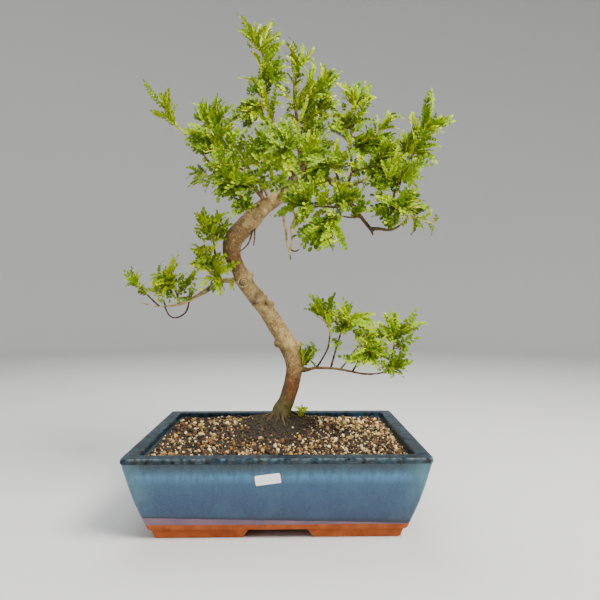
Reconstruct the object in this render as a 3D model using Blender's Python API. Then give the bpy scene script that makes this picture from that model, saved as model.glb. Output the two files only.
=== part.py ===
"""Small-leaved Chinese pepper bonsai standing in a glazed rectangular tray.

Units are metres and +Z is up. The origin is the centre of the tray's footprint on the table. Routes of
limbs and tips of leaves are given in whole millimetres from that origin.
"""
import math
import random

import bmesh
import bpy
from mathutils import Matrix, Vector
from mathutils.bvhtree import BVHTree

MM = 0.001
GAP = 0.35 * MM
SEED = 20
FLAT_ANGLE = math.radians(0.5)

# Tray: outer levels as (height, length, depth, corner radius), bottom to top
FOOT_HEIGHT = 11.5 * MM
TRAY_HEIGHT = 101.5 * MM
TRAY_LEVELS = [
    (0.0, 291 * MM, 209 * MM, 4 * MM),
    (FOOT_HEIGHT, 298 * MM, 216 * MM, 4 * MM),
    (FOOT_HEIGHT, 304.5 * MM, 222.5 * MM, 4 * MM),
    (20.0 * MM, 310.5 * MM, 228.5 * MM, 4 * MM),
    (50.0 * MM, 330.5 * MM, 248.5 * MM, 4 * MM),
    (93.5 * MM, 352 * MM, 270 * MM, 4 * MM),
    (94.8 * MM, 352 * MM, 270 * MM, 4 * MM),
    (95.6 * MM, 354 * MM, 272 * MM, 4 * MM),
    (100.5 * MM, 354 * MM, 272 * MM, 4 * MM),
    (TRAY_HEIGHT, 352 * MM, 270 * MM, 3.5 * MM),
]
CORNER_STEPS = 3
FLOOR_TOP = 16.0 * MM
CAVITY_BOTTOM = (293 * MM, 211 * MM)
CAVITY_TOP = (320 * MM, 238 * MM)
CAVITY_CORNER = 4 * MM
RECESS = (262 * MM, 180 * MM, 11 * MM)
FOOT_CUT_HEIGHT = 10.5 * MM
FRONT_CUT = (86 * MM, 69 * MM)
SIDE_CUT = (58 * MM, 46 * MM)
CUTTER_REACH = 0.4
CUTTER_MARGIN = 2 * MM
DRAIN_X = 75 * MM
DRAIN_RADIUS = 11 * MM

# Drainage screens on the tray's floor
SCREEN_SIZE = 36 * MM
SCREEN_THICKNESS = 1.0 * MM
SCREEN_HOLES = 2
SCREEN_HOLE = 12.0 * MM

# Blank label on the front wall
LABEL_CENTRE = (-10.8 * MM, 76.9 * MM)
LABEL_SIZE = (29.5 * MM, 12.5 * MM, 0.5 * MM)
LABEL_TURN = math.radians(8)

# Soil surface: a mound round the trunk over a level bed, broken into granules
SOIL_EDGE = 95.0 * MM
MOUND_RISE = 24.0 * MM
MOUND_CENTRE = (0.0, 24 * MM)
MOUND_SPREAD = (58 * MM, 40 * MM)
HEAP_BASE = (281 * MM, 199 * MM)
GRANULE_CELLS = (16, 12)
GRANULE_CREST = (1.2 * MM, 3.4 * MM)
GRANULE_SEAM = (-1.8 * MM, -0.4 * MM)
GRANULE_DRIFT = 3.4 * MM

# Trunk: route and radius in millimetres, from inside the soil to the crown
TRUNK = [
    (3, 27, 78, 15), (3, 26, 101, 15.5), (2, 25, 121, 14), (9, 24, 137, 11), (15, 24, 156, 11.3),
    (20, 22, 180, 11.4), (18, 20, 196, 11.8), (14, 18, 210, 12.8), (8, 15, 223, 12.8), (-3, 11, 242, 12.2),
    (-19, 5, 267, 11.2), (-31, 0, 283, 11.8), (-42, -4, 297, 10.9), (-50, -8, 311, 11), (-58, -12, 328, 9.6),
    (-65, -16, 346, 11.8), (-60, -24, 363, 12.6), (-42, -34, 380, 13), (-24, -38, 399, 11.3), (-5, -36, 412, 8.8),
    (13, -27, 428, 8.4), (25, -18, 443, 6.4),
]
ROOTS = [
    [(3, 26, 104, 9), (-38, 34, 92, 5), (-84, 44, 66, 2.6)],
    [(3, 26, 102, 9), (44, 38, 88, 5), (96, 36, 60, 2.6)],
    [(3, 26, 100, 8), (16, -12, 90, 4.6), (40, -60, 64, 2.4)],
    [(3, 26, 98, 8), (-22, -10, 84, 4.4), (-52, -52, 58, 2.4)],
]
ROOT_CLEARANCE = 0.45
LIMB_BOUNDS = (2.4, 6)

# Swellings fused to the trunk: centre in millimetres, radius, flattening along each axis
KNOTS = [
    ((-33, -7, 279), 6.2, (1, 1, 1)), ((-21, -5, 283), 5.6, (1, 1, 1)), ((-11, 1, 277), 5.4, (1.2, 1, 1)),
    ((-6, 10, 221), 6.5, (1, 1, 1.2)), ((22, 13, 217), 7.5, (1, 1, 1.3)), ((-42, -9, 314), 6, (1.3, 1, 0.9)),
    ((-52, -32, 378), 7.5, (1, 1, 1)), ((-69, -18, 351), 6, (0.8, 1, 1.5)), ((34, 15, 183), 4.2, (1.5, 1, 1)),
]
WOUND_CENTRE = (-48.5, -17.5, 305)
WOUND_RADIUS = 6.6
WOUND_LIP = 2.3
WOUND_STEPS = 10

# Limbs: radius at the base, radius at the tip, route in millimetres
LIMBS = {
    "leader_a": (4.6, 1.5, [(22, -18, 440), (7, -8, 467), (-4, -2, 489), (-9, 2, 510), (-10, 4, 534),
                            (-18, 6, 560), (-25, 8, 589), (-24, 10, 618)]),
    "leader_b": (4.2, 1.5, [(25, -18, 441), (32, -10, 466), (31, 0, 488), (27, 8, 513), (23, 14, 543),
                            (20, 18, 568), (20, 20, 592)]),
    "leader_c": (3.4, 1.4, [(27, -16, 440), (45, 0, 464), (55, 16, 493), (50, 30, 526), (54, 40, 552)]),
    "fork": (3.2, 1.7, [(12, -26, 419), (22, -29, 423), (31, -32, 437), (35, -34, 448), (39, -34, 460)]),
    "fork_spur": (1.7, 1.0, [(18, -29, 419), (18, -33, 430), (17, -33, 443)]),
    "fork_foot": (2.6, 2.2, [(20, -28, 422), (13, -25, 413), (12.5, -23, 403)]),
    "dead_left": (2.2, 1.1, [(12.5, -23, 405), (6, -27, 396), (6.5, -31, 384), (9, -34, 371), (10, -37, 354),
                             (13, -39, 343), (15, -40, 333)]),
    "dead_right": (2.2, 1.6, [(12.5, -23, 405), (20, -27, 395), (20, -31, 386), (16, -34, 376), (17, -36, 364),
                              (16, -38, 353), (13, -39, 344)]),
    "dead_spur": (1.3, 0.9, [(14, -38, 347), (20, -40, 344), (26, -42, 346)]),
    "right_limb": (6.6, 1.2, [(22, -18, 438), (47, -26, 445), (67, -34, 438), (81, -40, 423), (91, -44, 409),
                              (102, -48, 393), (112, -52, 379), (118, -56, 370), (120, -58, 363)]),
    "right_lower": (2.6, 1.3, [(117, -55, 371), (127, -60, 371), (140, -62, 369), (149, -62, 372),
                               (157, -60, 378), (167, -56, 388)]),
    "right_rise": (2.0, 1.2, [(140, -62, 369), (143, -58, 393), (148, -54, 415), (156, -52, 438),
                              (165, -52, 457), (177, -52, 473)]),
    "right_fan_left": (1.8, 1.2, [(82, -40, 422), (76, -46, 440), (70, -50, 452)]),
    "right_fan_mid": (2.8, 1.2, [(84, -42, 419), (93, -36, 441), (97, -28, 459), (95, -16, 484),
                                 (101, -4, 515), (104, 6, 540)]),
    "right_fan_right": (1.8, 1.1, [(96, -32, 450), (109, -20, 472), (121, -6, 496), (132, 4, 510)]),
    "right_fan_front": (1.6, 1.1, [(96, -32, 450), (109, -42, 452), (120, -50, 452)]),
    "right_back": (2.8, 1.2, [(78, -40, 425), (99, -10, 437), (119, 20, 452), (136, 50, 471), (146, 66, 490)]),
    "right_twig_high": (1.7, 1.0, [(92, -45, 406), (78, -58, 399), (58, -70, 397), (40, -78, 396)]),
    "right_twig_low": (1.6, 1.0, [(104, -50, 388), (91, -62, 385), (80, -70, 385)]),
    "left_limb": (3.4, 1.1, [(-15, -41, 406), (-27, -50, 419), (-38, -54, 431), (-46, -54, 447),
                             (-55, -52, 451), (-70, -46, 450), (-86, -40, 445), (-97, -36, 441)]),
    "left_fork": (1.8, 1.1, [(-21, -40, 404), (-32, -52, 401), (-45, -60, 396), (-49, -62, 409), (-51, -61, 424)]),
    "left_twig": (1.8, 1.1, [(-20, -38, 405), (-24, -36, 430), (-23, -28, 451), (-24, -20, 466)]),
    "left_back": (2.8, 1.2, [(-10, -34, 408), (-24, -4, 437), (-43, 26, 467), (-60, 50, 500), (-70, 62, 520)]),
    "left_rise": (2.0, 1.2, [(-45, -54, 446), (-61, -50, 461), (-72, -44, 480), (-80, -38, 497)]),
    "left_reach": (1.8, 1.1, [(-68, -47, 450), (-89, -40, 459), (-100, -30, 472), (-112, -20, 485)]),
    "back_limb": (3.0, 1.2, [(8, -29, 423), (14, 8, 453), (28, 42, 484), (42, 66, 508)]),
    "front_limb": (2.6, 1.2, [(0, -38, 414), (7, -64, 427), (12, -80, 448), (14, -88, 464)]),
    "lower_left": (4.6, 1.1, [(-49, -8, 311), (-62, -8, 307), (-78, -4, 307), (-92, 2, 300), (-106, 9, 292),
                              (-119, 16, 285), (-134, 24, 278), (-149, 32, 274), (-167, 40, 272),
                              (-183, 46, 272), (-199, 50, 276), (-210, 53, 278)]),
    "loop": (1.3, 1.1, [(-128, 21, 280), (-133, 20, 264), (-146, 22, 256), (-158, 28, 259), (-167, 39, 271)]),
    "loop_end": (1.3, 1.1, [(-166, 40, 271), (-170, 44, 283), (-168, 46, 298)]),
    "left_spike": (1.2, 1.0, [(-142, 28, 276), (-147, 22, 291), (-150, 17, 303)]),
    "left_hook": (1.4, 1.1, [(-176, 43, 272), (-190, 48, 284), (-203, 54, 297)]),
    "bend_twig": (2.0, 1.2, [(-80, -3, 306), (-85, -8, 322), (-87, -12, 340), (-89, -14, 358)]),
    "lower_right": (2.8, 1.3, [(22, 21, 182), (36, 16, 182), (49, 8, 186), (70, -4, 187), (85, -12, 186),
                               (98, -18, 184), (113, -26, 182), (129, -32, 183), (142, -36, 187),
                               (151, -39, 192)]),
    "lower_right_a": (1.4, 1.1, [(50, 7, 186), (57, 4, 196), (67, 8, 214), (70, 12, 231)]),
    "lower_right_b": (1.5, 1.1, [(70, -4, 187), (74, -8, 203), (78, -12, 219), (82, -16, 233)]),
    "lower_right_c": (1.3, 1.1, [(82, -10, 186), (91, -2, 194), (101, 6, 206), (112, 13, 218)]),
    "lower_right_d": (1.3, 1.1, [(98, -18, 184), (105, -28, 198), (111, -36, 208)]),
    "lower_right_e": (1.5, 1.2, [(140, -36, 187), (147, -38, 203), (150, -40, 218)]),
    "bend_thread": (1.3, 0.9, [(-34, -38, 376), (-38, -44, 358), (-43, -48, 349), (-50, -50, 343)]),
    "bend_thread_short": (1.2, 0.9, [(-32, -38, 378), (-32, -44, 361), (-33, -47, 351)]),
}

# Sprays: limb that carries it, how far along that limb, tips of its leaves in millimetres
SPRAYS = {
    "crown": ("leader_a", 1.0, [(-52, 6, 676), (-7, 26, 677), (-27, -12, 651), (1, 8, 634)]),
    "crown_side": ("leader_a", 0.80, [(-1, -14, 604), (6, -24, 554), (-8, 30, 590)]),
    "crown_low": ("leader_a", 0.64, [(-64, -16, 527), (-38, 34, 558), (15, 36, 583)]),
    "crown_base": ("leader_a", 0.20, [(-34, -30, 493), (-32, 30, 510)]),
    "peak": ("leader_b", 1.0, [(39, 28, 644), (3, 14, 650), (26, 46, 640)]),
    "peak_right": ("leader_b", 0.80, [(90, 36, 615), (52, -8, 574), (46, 8, 612)]),
    "peak_low": ("leader_b", 0.57, [(48, 50, 573), (57, -16, 537)]),
    "rear_top": ("leader_c", 1.0, [(84, 58, 588), (35, 76, 578), (86, 92, 574)]),
    "rear_mid": ("leader_c", 0.62, [(25, 74, 540), (96, 60, 550), (77, 92, 530)]),
    "dome": ("right_fan_mid", 1.0, [(108, 10, 585), (83, -12, 568), (134, 20, 556)]),
    "dome_front": ("right_fan_mid", 0.80, [(72, -44, 514), (130, -30, 522), (95, -50, 528)]),
    "dome_low": ("right_fan_mid", 0.55, [(126, -50, 482), (76, -74, 448)]),
    "east_top": ("right_fan_right", 1.0, [(161, 18, 546), (144, 46, 537), (164, -8, 516)]),
    "east_mid": ("right_fan_right", 0.55, [(150, -34, 490), (128, -52, 466)]),
    "heart": ("right_fan_left", 1.0, [(38, -68, 431), (46, -46, 457), (84, -84, 430)]),
    "breast": ("right_fan_front", 1.0, [(143, -78, 446), (114, -90, 424), (134, -84, 474)]),
    "rear_east": ("right_back", 1.0, [(184, 98, 530), (148, 106, 545), (192, 84, 492)]),
    "rear_east_low": ("right_back", 0.60, [(166, 54, 452), (112, 70, 496)]),
    "horn": ("right_rise", 1.0, [(197, -46, 557), (228, -58, 510), (202, -74, 476)]),
    "horn_side": ("right_rise", 0.82, [(180, -26, 528), (208, -40, 459), (157, -88, 487)]),
    "horn_low": ("right_rise", 0.50, [(134, -92, 450), (183, -28, 428), (172, -82, 455)]),
    "skirt_top": ("right_rise", 0.20, [(169, -90, 412), (118, -92, 406), (184, -38, 404)]),
    "skirt": ("right_lower", 1.0, [(188, -40, 371), (188, -70, 398), (158, -32, 412)]),
    "sleeve": ("right_twig_high", 1.0, [(22, -96, 410), (40, -100, 374), (14, -64, 396)]),
    "tassel": ("right_twig_low", 1.0, [(33, -92, 348), (82, -60, 352), (60, -100, 378)]),
    "cuff": ("right_twig_high", 0.45, [(90, -84, 413), (70, -44, 376)]),
    "long_arm": ("left_reach", 1.0, [(-188, 2, 585), (-147, -30, 562)]),
    "west_top": ("left_rise", 1.0, [(-104, -36, 541), (-90, -6, 552), (-65, -58, 522)]),
    "west_side": ("left_rise", 0.60, [(-121, -66, 492), (-104, -18, 500), (-48, -80, 498)]),
    "west_low": ("left_limb", 0.97, [(-116, -22, 448), (-95, -56, 424)]),
    "west_front": ("left_limb", 0.55, [(-64, -86, 422), (-82, -86, 470)]),
    "rear_west": ("left_back", 1.0, [(-114, 98, 563), (-77, 104, 570), (-118, 78, 518)]),
    "rear_west_low": ("left_back", 0.66, [(-26, 74, 524), (-94, 66, 478)]),
    "hip": ("left_fork", 1.0, [(-66, -88, 408), (-32, -84, 415), (-48, -94, 452)]),
    "collar": ("left_twig", 1.0, [(-33, 4, 500), (5, -58, 448)]),
    "nape": ("back_limb", 1.0, [(65, 106, 552), (14, 102, 556), (88, 100, 500)]),
    "nape_low": ("back_limb", 0.60, [(60, 66, 452), (-17, 70, 486)]),
    "chest": ("front_limb", 1.0, [(-14, -110, 440), (38, -110, 476), (19, -114, 430)]),
    "throat": ("fork", 1.0, [(34, -28, 504), (60, -58, 466)]),
    "arm_end": ("left_hook", 1.0, [(-232, 58, 326), (-213, 74, 339)]),
    "arm_mid": ("loop_end", 1.0, [(-166, 46, 331), (-178, 10, 295), (-184, 78, 321)]),
    "arm_in": ("lower_left", 0.62, [(-110, 4, 325), (-123, 0, 294)]),
    "arm_spike": ("left_spike", 1.0, [(-154, -14, 304), (-135, 2, 335)]),
    "elbow": ("bend_twig", 1.0, [(-102, -24, 407), (-69, -40, 382)]),
    "elbow_low": ("bend_twig", 0.50, [(-104, -32, 336), (-80, -46, 354)]),
    "armpit": ("lower_left", 0.22, [(-66, -46, 338), (-88, -36, 318), (-50, -38, 330)]),
    "trunk_shoot": ("lower_right", 0.07, [(31, 30, 207), (44, 36, 198)]),
    "hand_left": ("lower_right_a", 1.0, [(40, 24, 291), (70, 12, 284)]),
    "hand_mid": ("lower_right_b", 1.0, [(96, -34, 276), (121, -18, 251), (71, -52, 267)]),
    "hand_back": ("lower_right_c", 1.0, [(134, 28, 234), (108, 30, 258)]),
    "hand_in": ("lower_right_d", 1.0, [(130, -62, 216), (91, -50, 200)]),
    "hand_right": ("lower_right_e", 1.0, [(137, -40, 265), (163, -58, 257), (191, -28, 250), (182, -46, 231)]),
    "hand_low": ("lower_right", 0.97, [(151, -62, 194), (176, -16, 196)]),
}

# Leaf: one arched blade with leaflets cut to the rib
BLADE_THICKNESS = 0.7 * MM
RIB_HALF_WIDTH = 0.8 * MM
FOOT_HALF_WIDTH = 0.5 * MM
LEAF_REACH = (12 * MM, 62 * MM)
END_LEAF_REACH = (30 * MM, 58 * MM)
END_LEAF_SHARE = 0.62
FULL_LEAF = 46 * MM
LEAFLET_PAIRS = 2
LEAFLET_LENGTH = (7.5 * MM, 9.5 * MM)
LEAFLET_SHOULDER = 0.16
LEAFLET_POINT = 0.62
END_LEAFLET = (0.95, 0.55, 0.52)
BLADE_SHARE = (0.62, 0.74)
ARCH = (0.10, 0.24)
OWN_CLEAR_SHARE = 0.2
STEM_RADIUS = (1.1, 0.95)
STEM_LEAD = 1.8 * MM
STEM_SWEEP = 0.4
TIP_OVERLAP = 1.2 * MM
RAY_START = 8 * MM
STEM_SHARE = 0.32
HEADING_SHARE = 0.2
SPRAY_TRIES = 6
SPRAY_SHIFT = 0.02
LONG_STEM = 24 * MM
SIDE_LEAF_STEP = 0.28
LEAF_TRIES = 30
TIP_DRIFT = 7 * MM
CLEARANCE = 0.45 * MM
GAZE = Vector((0.0, -0.35, 0.7))
OUTWARD = 0.5
WILDNESS = 0.45
FOLLOW = 0.12

# Sprout in the soil beside the trunk
SPROUT_FOOT = (29, 22, 110)
SPROUT_HOLE = (2.0, 1.5, 30)
SPROUT_STEM_SHARE = 0.58
SPROUT_LEAF_STEP = 0.12
SPROUT_TIPS = [(29, 23, 135), (39, 18, 129), (20, 14, 130)]

COLOURS = {
    "pot": ((0.13, 0.19, 0.28), 0.25),
    "soil": ((0.24, 0.19, 0.13), 0.95),
    "tree": ((0.36, 0.27, 0.17), 0.85),
    "label": ((0.86, 0.86, 0.84), 0.6),
    "drain_screen": ((0.05, 0.05, 0.05), 0.6),
    "spray": ((0.20, 0.36, 0.03), 0.45),
}


def material(name):
    """The Principled material for one kind of piece, made once."""
    made = bpy.data.materials.get(name)
    if made:
        return made
    colour, roughness = COLOURS[name]
    made = bpy.data.materials.new(name)
    made.use_nodes = True
    shader = made.node_tree.nodes["Principled BSDF"]
    shader.inputs["Base Color"].default_value = (*colour, 1.0)
    shader.inputs["Roughness"].default_value = roughness
    shader.inputs["Metallic"].default_value = 0.0
    made.diffuse_color = (*colour, 1.0)
    return made


def group(name, hidden=False):
    """A collection under the scene."""
    made = bpy.data.collections.new(name)
    bpy.context.scene.collection.children.link(made)
    made.hide_render = hidden
    return made


def mesh_object(name, shape, home):
    """An object holding the shape of a bmesh with its faces pointing out. The bmesh is freed."""
    bmesh.ops.recalc_face_normals(shape, faces=shape.faces[:])
    if shape.calc_volume(signed=True) < 0.0:
        bmesh.ops.reverse_faces(shape, faces=shape.faces[:])
    mesh = bpy.data.meshes.new(name)
    shape.to_mesh(mesh)
    shape.free()
    obj = bpy.data.objects.new(name, mesh)
    home.objects.link(obj)
    return obj


def as_cutter(obj):
    """Marks an object as a guide that the model leaves out."""
    obj.hide_render = True
    obj.display_type = "WIRE"
    return obj


def drop(objects):
    """Removes objects and the meshes that only they use."""
    for obj in list(objects):
        mesh = obj.data
        bpy.data.objects.remove(obj)
        if mesh.users == 0:
            bpy.data.meshes.remove(mesh)


def combine(obj, pieces, operation, solver="EXACT"):
    """Joins pieces to an object, or cuts them out of it, in one Boolean, and removes them."""
    bin_ = group(obj.name + "_tools")
    for piece in pieces:
        for home in list(piece.users_collection):
            home.objects.unlink(piece)
        bin_.objects.link(piece)
    step = obj.modifiers.new("combine", "BOOLEAN")
    step.operation = operation
    step.operand_type = "COLLECTION"
    step.collection = bin_
    step.solver = solver
    bpy.context.view_layer.objects.active = obj
    bpy.ops.object.modifier_apply(modifier=step.name)
    drop(pieces)
    bpy.data.collections.remove(bin_)


def keep_largest_body(obj):
    """Drops loose scraps beside the main body, and splits its faces again with no needless edges."""
    shape = bmesh.new()
    shape.from_mesh(obj.data)
    unseen = set(shape.verts)
    bodies = []
    while unseen:
        stack = [unseen.pop()]
        body = set(stack)
        while stack:
            for edge in stack.pop().link_edges:
                for vert in edge.verts:
                    if vert in unseen:
                        unseen.discard(vert)
                        body.add(vert)
                        stack.append(vert)
        bodies.append(body)
    bodies.sort(key=len)
    for body in bodies[:-1]:
        bmesh.ops.delete(shape, geom=list(body), context="VERTS")
    bmesh.ops.dissolve_limit(shape, angle_limit=FLAT_ANGLE, verts=shape.verts[:], edges=shape.edges[:])
    bmesh.ops.triangulate(shape, faces=shape.faces[:])
    shape.to_mesh(obj.data)
    shape.free()


def finish(obj, name, angle=35):
    """Gives a finished piece its material and its smooth or sharp edges."""
    obj.data.materials.clear()
    obj.data.materials.append(material(name))
    obj.data.shade_smooth()
    obj.data.set_sharp_from_angle(angle=math.radians(angle))
    return obj


def search_tree(obj):
    """A search tree over an object's mesh, for rays and overlaps."""
    points = [obj.matrix_world @ vert.co for vert in obj.data.vertices]
    return BVHTree.FromPolygons(points, [tuple(face.vertices) for face in obj.data.polygons])


def rounded_ring(length, depth, radius):
    """Corner points of a rectangle with round corners, counter-clockwise from above."""
    points = []
    for quarter, (sx, sy) in enumerate([(1, 1), (-1, 1), (-1, -1), (1, -1)]):
        for step in range(CORNER_STEPS + 1):
            turn = (quarter + step / CORNER_STEPS) * math.pi / 2
            points.append((sx * (length / 2 - radius) + radius * math.cos(turn),
                           sy * (depth / 2 - radius) + radius * math.sin(turn)))
    return points


def rectangular_loft(name, levels, home):
    """A closed body through rounded rectangles, each (height, length, depth, corner radius)."""
    shape = bmesh.new()
    rings = []
    for height, length, depth, radius in levels:
        rings.append([shape.verts.new((x, y, height)) for x, y in rounded_ring(length, depth, radius)])
    for low, high in zip(rings, rings[1:]):
        for i in range(len(low)):
            j = (i + 1) % len(low)
            shape.faces.new((low[i], low[j], high[j], high[i]))
    shape.faces.new(reversed(rings[0]))
    shape.faces.new(rings[-1])
    return mesh_object(name, shape, home)


def box(name, size, centre, home, top_scale=(1.0, 1.0)):
    """A box from a cube primitive, whose top may be narrower than its bottom."""
    shape = bmesh.new()
    bmesh.ops.create_cube(shape, size=1.0)
    for vert in shape.verts:
        narrow = top_scale if vert.co.z > 0 else (1.0, 1.0)
        vert.co = Vector((vert.co.x * size[0] * narrow[0], vert.co.y * size[1] * narrow[1], vert.co.z * size[2]))
        vert.co += Vector(centre)
    return mesh_object(name, shape, home)


def cylinder(name, radius, low, high, centre, home, segments=24):
    """An upright cylinder between two heights."""
    shape = bmesh.new()
    bmesh.ops.create_cone(shape, cap_ends=True, segments=segments, radius1=radius, radius2=radius,
                          depth=high - low)
    bmesh.ops.translate(shape, verts=shape.verts[:], vec=(centre[0], centre[1], (low + high) / 2))
    return mesh_object(name, shape, home)


def tube(name, route, resolution, home, ring=False):
    """A tube mesh, capped or closed in a ring, along a route of (x, y, z, radius) in millimetres."""
    curve = bpy.data.curves.new(name, "CURVE")
    curve.dimensions = "3D"
    curve.bevel_depth = MM
    curve.bevel_resolution = resolution
    curve.use_fill_caps = not ring
    spline = curve.splines.new("POLY")
    spline.points.add(len(route) - 1)
    spline.use_cyclic_u = ring
    for point, place in zip(spline.points, route):
        point.co = (place[0] * MM, place[1] * MM, place[2] * MM, 1.0)
        point.radius = place[3]
    guide = bpy.data.objects.new(name, curve)
    home.objects.link(guide)
    seen = guide.evaluated_get(bpy.context.evaluated_depsgraph_get())
    mesh = bpy.data.meshes.new_from_object(seen)
    bpy.data.objects.remove(guide)
    bpy.data.curves.remove(curve)
    shape = bmesh.new()
    shape.from_mesh(mesh)
    bpy.data.meshes.remove(mesh)
    bmesh.ops.remove_doubles(shape, verts=shape.verts[:], dist=0.01 * MM)
    return mesh_object(name, shape, home)


def limb_route(name):
    """A limb's route with a radius at each point, in millimetres."""
    base, tip, points = LIMBS[name]
    last = len(points) - 1
    return [(*point, base + (tip - base) * (i / last) ** 0.8) for i, point in enumerate(points)]


def place_on(route, share):
    """The point, radius and direction at a share of a route's length."""
    places = [Vector(point[:3]) for point in route]
    lengths = [(b - a).length for a, b in zip(places, places[1:])]
    left = share * sum(lengths)
    for i, length in enumerate(lengths):
        if left <= length or i == len(lengths) - 1:
            t = min(left / length, 1.0)
            radius = route[i][3] + (route[i + 1][3] - route[i][3]) * t
            return places[i].lerp(places[i + 1], t), radius, (places[i + 1] - places[i]).normalized()
        left -= length


def cavity_size(height):
    """Length and depth of the tray's cavity at a height."""
    t = (height - FLOOR_TOP) / (TRAY_HEIGHT - FLOOR_TOP)
    return tuple(low + (high - low) * t for low, high in zip(CAVITY_BOTTOM, CAVITY_TOP))


def make_tray(parts, cutters):
    """The tray: stepped outside, tapering cavity, hollow foot cut through on four sides, drain holes."""
    tray = rectangular_loft("pot", TRAY_LEVELS, parts)
    over = CUTTER_MARGIN
    mouth = TRAY_HEIGHT + over
    cavity = rectangular_loft("cavity", [(FLOOR_TOP, *CAVITY_BOTTOM, CAVITY_CORNER),
                                         (mouth, *cavity_size(mouth), CAVITY_CORNER)], cutters)
    recess = box("recess", (RECESS[0], RECESS[1], RECESS[2] + over), (0, 0, (RECESS[2] - over) / 2), cutters)
    cut_height = FOOT_CUT_HEIGHT + over
    cut_centre = (0, 0, (FOOT_CUT_HEIGHT - over) / 2)
    long_cut = box("front_cut", (FRONT_CUT[0], CUTTER_REACH, cut_height), cut_centre, cutters,
                   (FRONT_CUT[1] / FRONT_CUT[0], 1.0))
    side_cut = box("side_cut", (CUTTER_REACH, SIDE_CUT[0], cut_height), cut_centre, cutters,
                   (1.0, SIDE_CUT[1] / SIDE_CUT[0]))
    drains = [cylinder("drain", DRAIN_RADIUS, 0.0, FLOOR_TOP + over, (side * DRAIN_X, 0), cutters)
              for side in (-1, 1)]
    tools = [as_cutter(tool) for tool in (cavity, recess, long_cut, side_cut, *drains)]
    combine(tray, tools, "DIFFERENCE")
    keep_largest_body(tray)
    return finish(tray, "pot")


def make_screens(parts, cutters):
    """A square drainage screen over each drain hole."""
    screens = []
    pitch = SCREEN_SIZE / SCREEN_HOLES
    for side, word in ((-1, "left"), (1, "right")):
        centre = (side * DRAIN_X, 0, FLOOR_TOP + GAP + SCREEN_THICKNESS / 2)
        screen = box("drain_screen_" + word, (SCREEN_SIZE, SCREEN_SIZE, SCREEN_THICKNESS), centre, parts)
        holes = []
        for i in range(SCREEN_HOLES):
            for j in range(SCREEN_HOLES):
                x = (i - (SCREEN_HOLES - 1) / 2) * pitch
                y = (j - (SCREEN_HOLES - 1) / 2) * pitch
                hole = box("hole", (SCREEN_HOLE, SCREEN_HOLE, 4 * SCREEN_THICKNESS),
                           (centre[0] + x, y, centre[2]), cutters)
                holes.append(as_cutter(hole))
        combine(screen, holes, "DIFFERENCE")
        screens.append(finish(screen, "drain_screen"))
    return screens


def make_label(parts):
    """A thin blank label lying on the sloping front wall."""
    low = TRAY_LEVELS[4]
    high = TRAY_LEVELS[5]
    slope = math.atan2((high[2] - low[2]) / 2, high[0] - low[0])
    x, z = LABEL_CENTRE
    wall = -(low[2] + (high[2] - low[2]) * (z - low[0]) / (high[0] - low[0])) / 2
    label = box("label", LABEL_SIZE, (0, 0, 0), parts)
    out = Vector((0.0, -math.cos(slope), -math.sin(slope)))
    label.location = Vector((x, wall, z)) + out * (GAP + LABEL_SIZE[2] / 2)
    lean = Matrix.Rotation(math.pi / 2 + slope, 3, "X")
    label.rotation_euler = (lean @ Matrix.Rotation(LABEL_TURN, 3, "Z")).to_euler()
    return finish(label, "label")


def mound_height(x, y):
    """Height of the soil at a place, without its granules."""
    across = (x - MOUND_CENTRE[0]) / MOUND_SPREAD[0]
    along = (y - MOUND_CENTRE[1]) / MOUND_SPREAD[1]
    return SOIL_EDGE + MOUND_RISE * math.exp(-0.5 * (across ** 2 + along ** 2))


def air_above_soil(cutters):
    """A closed body whose underside is the granular surface of the soil."""
    chance = random.Random(SEED)
    shape = bmesh.new()
    bmesh.ops.create_grid(shape, x_segments=GRANULE_CELLS[0], y_segments=GRANULE_CELLS[1], size=0.5)
    crests = set(bmesh.ops.poke(shape, faces=shape.faces[:])["verts"])
    for vert in shape.verts:
        x = vert.co.x * (CAVITY_TOP[0] + 2 * GRANULE_DRIFT) + chance.uniform(-GRANULE_DRIFT, GRANULE_DRIFT)
        y = vert.co.y * (CAVITY_TOP[1] + 2 * GRANULE_DRIFT) + chance.uniform(-GRANULE_DRIFT, GRANULE_DRIFT)
        relief = chance.uniform(*(GRANULE_CREST if vert in crests else GRANULE_SEAM))
        vert.co = (x, y, mound_height(x, y) + relief)
    lid = bmesh.ops.extrude_face_region(shape, geom=shape.faces[:])
    for item in lid["geom"]:
        if isinstance(item, bmesh.types.BMVert):
            item.co.z = TRAY_HEIGHT + 2 * MOUND_RISE
    return as_cutter(mesh_object("air", shape, cutters))


def root_tubes(extra, home):
    """The trunk's foot and its roots as tubes, grown by an extra radius in millimetres."""
    foot = [(x, y, z, r + extra) for x, y, z, r in TRUNK[:4]]
    foot[0] = (foot[0][0], foot[0][1], foot[0][2] - extra, foot[0][3])
    tubes = [tube("foot", foot, 4, home)]
    for route in ROOTS:
        grown = [(x, y, z, r + extra) for x, y, z, r in route]
        end = Vector(grown[-1][:3])
        end += (end - Vector(grown[-2][:3])).normalized() * extra
        grown[-1] = (*end, grown[-1][3])
        tubes.append(tube("root", grown, 1, home))
    return tubes


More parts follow.
